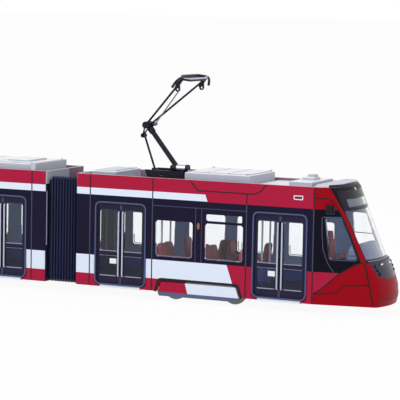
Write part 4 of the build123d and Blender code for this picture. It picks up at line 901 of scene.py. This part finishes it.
def add_tube(points, faces, path, radius, sides):
    """A round bar along a path in metres, closed with flat ends."""
    last = len(path) - 1
    ways = [(path[min(i + 1, last)] - path[max(i - 1, 0)]).normalized() for i in range(last + 1)]
    side = ways[0].orthogonal().normalized()
    rings = []
    for at, way in zip(path, ways):
        side = (side - way * side.dot(way)).normalized()
        other = way.cross(side)
        rings.append(len(points))
        for k in range(sides):
            angle = 2 * math.pi * k / sides
            points.append(at + (side * math.cos(angle) + other * math.sin(angle)) * radius)
    for a, b in zip(rings, rings[1:]):
        faces.extend(ring_faces(a, b, sides))
    faces.append(tuple(range(rings[0] + sides - 1, rings[0] - 1, -1)))
    faces.append(tuple(range(rings[-1], rings[-1] + sides)))


# %% Turned sleeve of the pantograph's drive
DRIVE_AXIS, DRIVE_SIDES = (-3.4, 41.85), 24
DRIVE_PARTS = (
    ("panto_drive_sleeve", bright_metal, (-12.4, -9.3), 1.12),
    ("panto_drive_cap", smoke_black, (-9.35, -8.4), 1.2),
)
for name, metal, ends, radius in DRIVE_PARTS:
    points, faces = [], []
    path = [place(1, along, *DRIVE_AXIS) for along in ends]
    add_tube(points, faces, path, radius * MM, DRIVE_SIDES)
    make_piece(name, "car_1", metal, points, faces)
print("drive parts", len(DRIVE_PARTS))

# %% Grab bars on the doors
BAR_ASIDE, BAR_RADIUS, BAR_SIDES, BAR_FOOT, BAR_TOP = 0.72, 0.26, 10, 6.7, 27.6
BAR_BEND = ((0.0, -12.85), (0.1, -13.12), (0.45, -13.22))
bar_silver = moulded_plastic("silver_painted_bar", "#C6CADC", "#B4B8CC", 0.3, 0.35)
for number in SECTIONS:
    points, faces = [], []
    for centre in DOORS_AT:
        for along in (centre - BAR_ASIDE, centre + BAR_ASIDE):
            path = [place(number, along, across, BAR_FOOT + rise) for rise, across in BAR_BEND]
            path += [place(number, along, across, BAR_TOP - rise)
                     for rise, across in reversed(BAR_BEND)]
            add_tube(points, faces, path, BAR_RADIUS * MM, BAR_SIDES)
    make_piece(f"door_bars_{number}", f"car_{number}", bar_silver, points, faces, smooth=True)

# %% Pale steps under the doors
STEP_HALF, STEP_FOOT, STEP_TOP, STEP_OUT, STEP_IN = 7.1, 2.75, 3.3, -13.28, -12.1
STEP_BEVEL = 0.12


def add_bevelled_box(points, faces, number, low, high, bevel):
    """A box between two corners in section millimetres, its upright and top edges cut."""
    (x0, y0, z0), (x1, y1, z1) = low, high
    first = len(points)
    for height, shrink in ((z0, 0.0), (z1 - bevel, 0.0), (z1, bevel)):
        a0, a1, b0, b1 = x0 + shrink, x1 - shrink, y0 + shrink, y1 - shrink
        for along, across in (
                (a0 + bevel, b0), (a1 - bevel, b0), (a1, b0 + bevel), (a1, b1 - bevel),
                (a1 - bevel, b1), (a0 + bevel, b1), (a0, b1 - bevel), (a0, b0 + bevel)):
            points.append(place(number, along, across, height))
    for base in (first, first + 8):
        faces.extend(ring_faces(base, base + 8, 8))
    faces.append(tuple(first + k for k in range(7, -1, -1)))
    faces.append(tuple(first + 16 + k for k in range(8)))


def box_piece(name, number, material, boxes):
    """Boxes as one piece on a section. A box is its two corners and its bevel."""
    points, faces = [], []
    for low, high, bevel in boxes:
        add_bevelled_box(points, faces, number, low, high, bevel)
    return make_piece(name, f"car_{number}", material, points, faces)


for number in SECTIONS:
    box_piece(f"door_steps_{number}", number, plate_white, [
        ((centre - STEP_HALF, STEP_OUT, STEP_FOOT), (centre + STEP_HALF, STEP_IN, STEP_TOP),
         STEP_BEVEL) for centre in DOORS_AT])
print("bars and steps on", len(SECTIONS), "sections")

# %% [markdown]
# ## Windows, bogie covers and side lamps
#
# The panes sit in a fine bead; where it catches the light, along the foot and up both edges, it is
# drawn as a pale line, a painted highlight.
# Over each bogie cover runs a black gap. Between the two middle windows is an amber side
# lamp, a small oval dome, and near the cab a white-framed red lamp.

# %% Window beads and cover gaps
NEAR_CENTRE, NEAR_HALF, FAR_CENTRE, FAR_HALF = 8.65, 6.5, 28.1, 7.8
BEAD_FOOT, BEAD_INSET, BEAD_REAR, BEAD_FRONT, BEAD_TURN = 14.5, 0.3, 3.0, 6.0, 0.8
COVER_GAP = ((-15.0, 2.9), (-13.75, 7.0), (13.75, 7.0), (15.0, 2.9))
GAP_WIDTH, GAP_TURN = 0.75, 1.2
# A pale grey for trim: on the window beads it is a painted highlight where the bead catches the
# light.
pale_trim_and_highlight = moulded_plastic("pale_bead_and_highlight", "#8C87A0", "#7E7A94", 0.4)
gap_black = moulded_plastic("black_cover_gap", "#16151F", "#101018", 0.6)
for number in SECTIONS:
    beads, gaps = [], []
    for view in (RIGHT, LEFT):
        panes = [(-NEAR_CENTRE, NEAR_HALF), (NEAR_CENTRE, NEAR_HALF)]
        if view == LEFT:
            panes += [(-FAR_CENTRE, FAR_HALF), (FAR_CENTRE, FAR_HALF)]
        for centre, half in panes:
            rear, front = centre - half + BEAD_INSET, centre + half - BEAD_INSET
            line = ((rear, BEAD_FOOT + BEAD_REAR), (rear, BEAD_FOOT),
                    (front, BEAD_FOOT), (front, BEAD_FOOT + BEAD_FRONT))
            beads.append(strip(view, line, HAIRLINE, BEAD_TURN))
        gaps.append(strip(view, COVER_GAP, GAP_WIDTH, GAP_TURN))
    drawn_piece(f"window_beads_{number}", number, pale_trim_and_highlight, beads)
    drawn_piece(f"cover_gaps_{number}", number, gap_black, gaps)


# %% Lamp domes
DOME_RINGS, DOME_SIDES = 4, 20


def add_dome(points, faces, number, view, centre, half_wide, half_high, height):
    """A low oval dome on the surface at a drawn point."""
    rings, sides = DOME_RINGS, DOME_SIDES
    first = len(points)
    base, out = on_surface(number, view, centre)
    for ring in range(rings):
        angle = math.pi / 2 * ring / rings
        for k in range(sides):
            turn = 2 * math.pi * k / sides
            spot = (centre[0] + half_wide * math.cos(angle) * math.cos(turn),
                    centre[1] + half_high * math.cos(angle) * math.sin(turn))
            hit = on_surface(number, view, spot)[0] or base
            lift = height * math.sin(angle) - (LINE_SUNK if ring == 0 else 0.0)
            points.append(hit + out * lift * MM)
    points.append(base + out * height * MM)
    top = len(points) - 1
    last = first + (rings - 1) * sides
    for ring in range(first, last, sides):
        faces.extend(ring_faces(ring, ring + sides, sides))
    for k in range(sides):
        faces.append((last + k, last + (k + 1) % sides, top))
    faces.append(tuple(first + k for k in range(sides - 1, -1, -1)))


def lamp_piece(name, number, material, domes):
    """Domes of one kind as one piece. A dome is view, centre, half width, half height, height."""
    points, faces = [], []
    for view, centre, half_wide, half_high, height in domes:
        add_dome(points, faces, number, view, centre, half_wide, half_high, height)
    return make_piece(name, f"car_{number}", material, points, faces, smooth=True)


amber_lens = moulded_plastic("amber_lamp_lens", "#A8683E", "#945730", 0.2, 0.4)
red_lens = moulded_plastic("red_lamp_lens", "#7A1026", "#690C20", 0.2, 0.4)
smoke_lens = moulded_plastic("smoked_lamp_lens", "#07060B", "#040307", 0.5, 0.05)
white_lens = moulded_plastic("white_lamp_lens", "#F4F6FA", "#EAEEF5", 0.15, 0.4)
SIDE_LAMP = ((-0.15, 24.7), 0.5, 1.15, 0.3)
MARKER_FRAME, MARKER_UP = box_line(33.55, 1.42, 35.15, 36.25), 35.7
MARKER_TURN, MARKER_WIDTH, MARKER_PROUD = 0.15, 0.26, 0.1
MARKER_LENSES = ((32.2, 34.9, 0.9), (36.3, 36.8, 0.5))
for number in SECTIONS:
    domes = [(view, *SIDE_LAMP) for view in (RIGHT, LEFT)]
    lamp_piece(f"side_lamps_{number}", number, amber_lens, domes)
for number in CAB_SECTIONS:
    frames, lenses = [], []
    for view in (RIGHT, LEFT):
        frames.append(strip(view, MARKER_FRAME, MARKER_WIDTH, MARKER_TURN, closed=True))
        for rear, front, wide in MARKER_LENSES:
            lenses.append(strip(view, ((rear, MARKER_UP), (front, MARKER_UP)), wide))
    drawn_piece(f"marker_frames_{number}", number, plate_white, frames, MARKER_PROUD)
    drawn_piece(f"marker_lenses_{number}", number, red_lens, lenses)
print("lamps on", len(SECTIONS), "sections")

# %% [markdown]
# ## The cab's lines and lamps
#
# The cab is one moulding with joints engraved in it and inked black: the edge of the
# pillar, the diagonal, the step low down and the corner of the nose. On the charcoal the
# same joints are slate. The cab window has a fine outline and two cross bars. The nose
# carries a white lamp pair at the top of the dark panel and three smoked lenses each side,
# and a small white lamp sits above the windscreen.

# %% Cab joints, each as its corners, its width and how round it turns
CAB_DARK_LINES = (
    (((38.8, 35.9), (43.2, 35.8), (45.06, 34.45), (46.36, 32.33), (47.63, 30.17), (50.2, 24.46),
      (53.3, 16.75)), 0.36, 0.8),
    (((39.2, 6.35), (41.19, 7.61), (47.42, 13.3), (51.85, 16.05), (54.0, 16.75)), 0.4, 1.0),
    (((38.8, 6.2), (46.03, 6.95), (48.47, 9.28), (56.2, 9.85)), 0.36, 0.8),
    (((54.46, 16.7), (56.04, 9.99), (57.35, 3.6)), 0.45, 1.0),
)
CAB_SLATE_LINES = (
    (((41.3, 29.0), (41.38, 24.65), (41.83, 19.96), (43.33, 15.93), (45.2, 13.25)), 0.22, 2.0),
    (((41.27, 28.6), (41.27, 30.15), (47.4, 30.3)), 0.24, 1.0),
    (((42.6, 33.2), (42.6, 31.2), (44.9, 31.2), (44.9, 33.2)), 0.2, 0.3),
)
CAB_WINDOW = (((42.15, 29.95), (47.35, 30.0), (52.55, 17.1), (43.8, 17.1)), 0.26, 0.8, True)
CAB_BARS = ((((42.75, 23.4), (49.9, 23.4)), 0.26), (((43.4, 18.6), (51.9, 18.6)), 0.26))
for number in CAB_SECTIONS:
    dark, slate = [], []
    for view in (RIGHT, LEFT):
        dark += [strip(view, *line) for line in CAB_DARK_LINES]
        slate += [strip(view, *line) for line in (*CAB_SLATE_LINES, CAB_WINDOW, *CAB_BARS)]
    drawn_piece(f"cab_joints_{number}", number, dark_ink, dark)
    drawn_piece(f"cab_lines_{number}", number, slate_ink, slate)

# %% Nose trim and lamps
FOOT_LEDGE = tuple((across, 17.0) for across in (-8.7, -4.0, 0.0, 4.0, 8.7))
BUMPER_LINE = tuple((across, 5.2) for across in (-8.8, -4.4, 0.0, 4.4, 8.8))
LEDGE_WIDTH, BUMPER_WIDTH = 0.2, 0.28
ROUND_LAMPS, ROUND_SIZE = ((7.4, 15.5), (7.05, 14.3), (6.4, 13.05)), (0.6, 0.6, 0.06)
STRIP_LAMPS, STRIP_UP = ((-4.51, -2.61), (2.61, 4.51)), 15.77
STRIP_WIDTH, STRIP_PROUD = 0.5, 0.08
HEADER_LAMP = ((-0.6, 38.35), 0.35, 0.5, 0.15)
for number, end in CAB_SECTIONS.items():
    ledge = strip("front", FOOT_LEDGE, LEDGE_WIDTH)
    bumper = strip("front", BUMPER_LINE, BUMPER_WIDTH)
    rounds = [("front", (side * across, height), *ROUND_SIZE)
              for side in (RIGHT, LEFT) for across, height in ROUND_LAMPS]
    strips = [strip("front", ((right, STRIP_UP), (left, STRIP_UP)), STRIP_WIDTH)
              for right, left in STRIP_LAMPS]
    drawn_piece(f"screen_ledge_{end}", number, pale_trim_and_highlight, [ledge])
    drawn_piece(f"bumper_line_{end}", number, dark_ink, [bumper])
    lamp_piece(f"round_lamps_{end}", number, smoke_lens, rounds)
    drawn_piece(f"strip_lamps_{end}", number, white_lens, strips, STRIP_PROUD)
    lamp_piece(f"header_lamp_{end}", number, white_lens, [("front", *HEADER_LAMP)])
print("cab trim on", list(CAB_SECTIONS.values()))

# %% [markdown]
# ## Bellows
#
# The gangways between sections are folded from thin vinyl: sharp outer folds that catch
# the light, and round valleys between them. The CAD part has a plain ribbed box there. It
# is replaced by a pleated sleeve of real folds. Its roof lies sunk between two raised
# edges, and a narrow collar joins it to the section behind.

# %% Pleated sleeves
FOLDS, FOLD_ROWS, FOLD_DEPTH, FOLD_FULLNESS, SLEEVE_WALL = 9, 10, 1.0, 0.7, 0.4
SLEEVE_CORNER, CORNER_POINTS = 0.7, 4
LIP_WIDE, LIP_SLOPE, ROOF_SUNK, COLLAR, COLLAR_INSET = 2.4, 0.3, 3.0, 1.6, 1.3
vinyl_navy = moulded_plastic("navy_vinyl_bellows", "#1D1F3A", "#171930", 0.5)
# A paler vinyl for the faces along each outer fold: a painted highlight on the crests.
vinyl_crest_highlight = moulded_plastic("vinyl_crest_painted_highlight", "#4A5078", "#40466C", 0.45)


def sleeve_loop(half_wide, foot, top, corner, lip, roof):
    """The sleeve's section: rounded outside, its roof sunk between two lips."""
    centres = ((1, top), (-1, top), (-1, foot), (1, foot))
    loop = []
    for quarter, (side, edge) in enumerate(centres):
        if quarter == 1:
            inner = lip - LIP_SLOPE
            loop += [(lip, top), (inner, roof), (-inner, roof), (-lip, top)]
        up = -corner if edge == top else corner
        for k in range(CORNER_POINTS + 1):
            angle = math.pi / 2 * (quarter + k / CORNER_POINTS)
            loop.append((
                side * (half_wide - corner) + corner * math.cos(angle),
                edge + up + corner * math.sin(angle)))
    return loop


def pleated_sleeve(number):
    """The folds between a section and the one behind it, in place of the plain bellows."""
    low, high = (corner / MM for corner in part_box(f"bellows_{number}"))
    stations = [(low.x, COLLAR_INSET), (low.x + COLLAR, COLLAR_INSET)]
    fold_rows = FOLDS * FOLD_ROWS
    for row in range(fold_rows + 1):
        share = row / fold_rows
        inset = FOLD_DEPTH * math.sin(math.pi * (share * FOLDS % 1.0)) ** FOLD_FULLNESS
        stations.append((low.x + COLLAR + (high.x - low.x - COLLAR) * share, inset))
    rows = len(stations) - 1
    points, faces, painted_highlight_faces = [], [], []
    size = 4 * (CORNER_POINTS + 1) + 4
    for x, inset in stations:
        for wall in (0.0, SLEEVE_WALL):
            depth = inset + wall
            loop = sleeve_loop(
                high.y - depth, low.z + depth, high.z - depth, SLEEVE_CORNER,
                high.y - LIP_WIDE + wall, high.z - ROOF_SUNK - depth)
            points += [Vector((x, across, height)) * MM for across, height in loop]
    for row in range(rows):
        # The outer faces on both sides of each sharp fold take the paler vinyl: painted highlight.
        near_fold = row > 1 and (row - 2) % FOLD_ROWS in (0, FOLD_ROWS - 1)
        for wall in (0, 1):
            ring = ring_faces((2 * row + wall) * size, (2 * row + 2 + wall) * size, size)
            faces += ring if wall else [face[::-1] for face in ring]
            painted_highlight_faces += [near_fold and wall == 0] * size
    for row in (0, rows):
        ring = ring_faces(2 * row * size, (2 * row + 1) * size, size)
        faces += [face[::-1] for face in ring] if row else ring
        painted_highlight_faces += [False] * size
    sleeve = make_piece(f"pleated_sleeve_{number}", None, vinyl_navy, points, faces)
    sleeve.data.materials.append(vinyl_crest_highlight)
    sleeve.data.polygons.foreach_set("material_index", [int(fold) for fold in painted_highlight_faces])
    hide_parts(f"bellows_{number}")
    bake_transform(sleeve)
    finish_node(f"bellows_{number}", vinyl_navy)


for number in SECTIONS[:-1]:
    pleated_sleeve(number)
print("sleeves", len(SECTIONS) - 1, "with", FOLDS, "folds")

# %% Bright corner strips behind the collars
CORNER_AT, CORNER_ACROSS, CORNER_SPAN = 43.9, 12.5, (15.0, 32.7)
CORNER_THICK, CORNER_BEVEL = 0.3, 0.05
for number in SECTIONS[1:]:
    boxes = []
    rear, front = sorted(FACING[number] * at for at in (CORNER_AT, CORNER_AT + CORNER_THICK))
    for side in (RIGHT, LEFT):
        near, far = sorted(side * at for at in (CORNER_ACROSS, CORNER_ACROSS + CORNER_THICK))
        boxes.append(((rear, near, CORNER_SPAN[0]), (front, far, CORNER_SPAN[1]), CORNER_BEVEL))
    box_piece(f"corner_strips_{number}", number, pale_trim_and_highlight, boxes)
print("corner strips on", SECTIONS[1:])

# %% [markdown]
# ## Roof fairings
#
# Ahead of the long equipment box the roof of an end section is raised: a flat white
# fairing, just below the parapet's edge, out of which the small unit with the hatch
# stands. It has a cut edge and two shallow service panels. A small lid sits on the hatch.

# %% White fairings
FAIRING = (
    ((16.1, -11.95, 35.3), (38.55, 11.95, 38.4), 0.3),
    ((17.4, -9.8, 38.3), (27.4, -0.4, 38.55), 0.1),
    ((17.4, 0.4, 38.3), (27.4, 9.8, 38.55), 0.1),
)
HATCH_LID = ((31.7, -1.5, 41.1), (34.1, 1.5, 41.95), 0.15)
fairing_white = moulded_plastic("white_abs_fairing", "#E9EBF0", "#E0E3EA", 0.4)
lid_grey = moulded_plastic("grey_abs_hatch_lid", ROOF_LIGHT, ROOF_DARK, 0.4)
for number in CAB_SECTIONS:
    box_piece(f"roof_fairing_{number}", number, fairing_white, FAIRING)
    box_piece(f"hatch_lid_{number}", number, lid_grey, [HATCH_LID])
print("fairings", len(CAB_SECTIONS))

# %% [markdown]
# ## Ends of the long middle units
#
# On the two middle sections the long roof unit ends in a raised end panel, a little
# taller than the unit, which faces the bellows.

# %% End panels
PANEL_ALONG, PANEL_ACROSS, PANEL_UP, PANEL_BEVEL = (37.4, 39.2), (-12.0, 9.4), (35.2, 41.45), 0.15
housing_grey = moulded_plastic("grey_abs_end_housing", "#C3C6D2", "#B7BAC8", 0.4)
for number, end in ((2, 1), (3, -1)):
    spans = sorted(end * at for at in PANEL_ALONG), PANEL_ACROSS, PANEL_UP
    box_piece(f"unit_end_housing_{number}", number, housing_grey, [(*zip(*spans), PANEL_BEVEL)])
print("end panels", 2)

# %% [markdown]
# ## Driver's chairs
#
# Through the cab window the back of a tall maroon chair shows, with a headrest. It is one
# rounded slab, lofted from level ovals that widen to the shoulders and narrow again to
# the headrest, and it stands on the CAD part's own chair.

# %% Tall chair backs
CHAIR_AT, CHAIR_ACROSS, CHAIR_DEPTH, CHAIR_FULLNESS = 40.4, -2.5, 0.9, 0.5
CHAIR_STATIONS = ((14.0, 2.2, 0.5), (17.0, 2.5, 0.4), (19.5, 2.6, 0.2), (21.4, 2.1, 0.0),
                  (22.0, 1.3, -0.1), (22.5, 1.1, -0.1), (24.4, 1.15, -0.3), (24.9, 0.7, -0.35))
CHAIR_SIDES = 16
chair_fabric = moulded_plastic("maroon_abs_chair", SEAT_LIGHT, SEAT_DARK, 0.55)
for number, end in CAB_SECTIONS.items():
    points, faces = [], []
    for height, half_wide, lean in CHAIR_STATIONS:
        for k in range(CHAIR_SIDES):
            turn = 2 * math.pi * k / CHAIR_SIDES
            flat = math.copysign(abs(math.cos(turn)) ** CHAIR_FULLNESS, math.cos(turn))
            points.append(place(
                number, CHAIR_AT + lean + CHAIR_DEPTH * math.sin(turn),
                CHAIR_ACROSS + half_wide * flat, height))
    rings = len(CHAIR_STATIONS)
    for ring in range(rings - 1):
        a, b = ring * CHAIR_SIDES, (ring + 1) * CHAIR_SIDES
        for k in range(CHAIR_SIDES):
            after = (k + 1) % CHAIR_SIDES
            faces.append((a + k, b + k, b + after, a + after))
    faces.append(tuple(range(CHAIR_SIDES)))
    faces.append(tuple(rings * CHAIR_SIDES - 1 - k for k in range(CHAIR_SIDES)))
    make_piece(f"driver_chair_{end}", f"car_{number}", chair_fabric, points, faces, smooth=True)
print("chairs", len(CAB_SECTIONS))

# %% [markdown]
# ## Studio
#
# The photograph is a catalogue picture: white ground, soft light from all round, a little
# stronger from the upper left. A white world lights the tram evenly, one large soft lamp
# gives direction and a smaller one lights the nose. The floor is pale and keeps the shadow.

# %% Floor, world and lamps
FLOOR_REACH, FLOOR_WHITE, FLOOR_PALE = 12.0, 0.94, "#F2F3F5"
WORLD_AS_LIGHT = 0.62
LAMPS = (
    ("key_lamp", (-0.2, -1.0, 1.0), (0.1, 0, 0.02), 0.9, 9.0),
    ("nose_lamp", (1.1, -0.5, 0.5), (0.2, 0, 0.02), 0.5, 1.6),
)


def make_floor():
    """A pale floor under the wheels, white to the camera and in glass."""
    mesh = bpy.data.meshes.new("floor")
    square = ((-1, -1), (1, -1), (1, 1), (-1, 1))
    corners = [(x * FLOOR_REACH, y * FLOOR_REACH, 0) for x, y in square]
    mesh.from_pydata(corners, [], [(0, 1, 2, 3)])
    floor = bpy.data.objects.new("floor", mesh)
    bpy.context.scene.collection.objects.link(floor)
    material, tree, output = new_material("pale_studio_floor")
    surface = add(tree, "ShaderNodeBsdfDiffuse", {"Color": FLOOR_PALE})
    white = add(tree, "ShaderNodeEmission", {"Color": (1, 1, 1, 1), "Strength": 1.0})
    seen = add(tree, "ShaderNodeMath", {0: seen_rays(tree), 1: FLOOR_WHITE}, operation="MULTIPLY")
    mix = add(tree, "ShaderNodeMixShader", {0: seen, 1: surface, 2: white})
    tree.links.new(mix.outputs[0], output.inputs["Surface"])
    mesh.materials.append(material)


def seen_rays(tree):
    """1 for what the camera, reflections and glass look at, 0 for what only lights."""
    path = add(tree, "ShaderNodeLightPath")
    seen = path.outputs["Is Camera Ray"]
    for kind in ("Is Transmission Ray", "Is Glossy Ray"):
        seen = add(tree, "ShaderNodeMath", {0: seen, 1: path.outputs[kind]}, operation="MAXIMUM")
    return seen


def make_world():
    """White to the camera, to reflections and through glass, softer as a light."""
    world = bpy.data.worlds.new("studio")
    world.use_nodes = True
    tree = world.node_tree
    tree.nodes.clear()
    strength = add(tree, "ShaderNodeMapRange", {
        "Value": seen_rays(tree), "To Min": WORLD_AS_LIGHT, "To Max": 1.0})
    back = add(tree, "ShaderNodeBackground", {"Color": (1, 1, 1, 1), "Strength": strength})
    output = add(tree, "ShaderNodeOutputWorld")
    tree.links.new(back.outputs[0], output.inputs["Surface"])
    bpy.context.scene.world = world


def soft_lamp(name, where, aim, size, power):
    """A square area lamp aimed at a point."""
    data = bpy.data.lights.new(name, "AREA")
    data.size, data.energy = size, power
    lamp = bpy.data.objects.new(name, data)
    bpy.context.scene.collection.objects.link(lamp)
    lamp.location = where
    lamp.rotation_euler = (Vector(aim) - Vector(where)).to_track_quat("-Z", "Y").to_euler()


make_floor()
make_world()
for lamp in LAMPS:
    soft_lamp(*lamp)

# %% [markdown]
# ## Camera
#
# The picture was taken from about 0.6 m with a long lens, from ahead and a little above.
# The place and angles come from fitting the section's own sizes to the picture.

# %% Camera at the photograph's view
PHOTO_WIDTH, FOCAL_PIXELS, SENSOR_MM = 400, 1993.0, 36.0
NEAREST, FARTHEST = 0.01, 20
CAMERA_AT = (0.4097, -0.5789, 0.0947)
YAW, PITCH, ROLL = (math.radians(a) for a in (24.763, 5.652, 1.084))


def make_camera():
    """The scene's camera, looking along yaw, tipped down by pitch and rolled."""
    level = math.cos(PITCH)
    ahead = Vector((-math.sin(YAW) * level, math.cos(YAW) * level, -math.sin(PITCH)))
    level_right = Vector((math.cos(YAW), math.sin(YAW), 0))
    level_up = level_right.cross(ahead)
    right = level_right * math.cos(ROLL) + level_up * math.sin(ROLL)
    up = level_up * math.cos(ROLL) - level_right * math.sin(ROLL)
    data = bpy.data.cameras.new("photo_camera")
    data.sensor_width = SENSOR_MM
    data.lens = FOCAL_PIXELS / PHOTO_WIDTH * SENSOR_MM
    data.clip_start, data.clip_end = NEAREST, FARTHEST
    camera = bpy.data.objects.new("photo_camera", data)
    bpy.context.scene.collection.objects.link(camera)
    camera.rotation_mode = "QUATERNION"
    matrix = Matrix((right, up, -ahead)).transposed().to_4x4()
    matrix.translation = CAMERA_AT
    camera.matrix_world = matrix
    bpy.context.scene.camera = camera
    print("camera lens", round(data.lens, 1), "mm")


make_camera()
bpy.context.scene.view_settings.view_transform = "Standard"
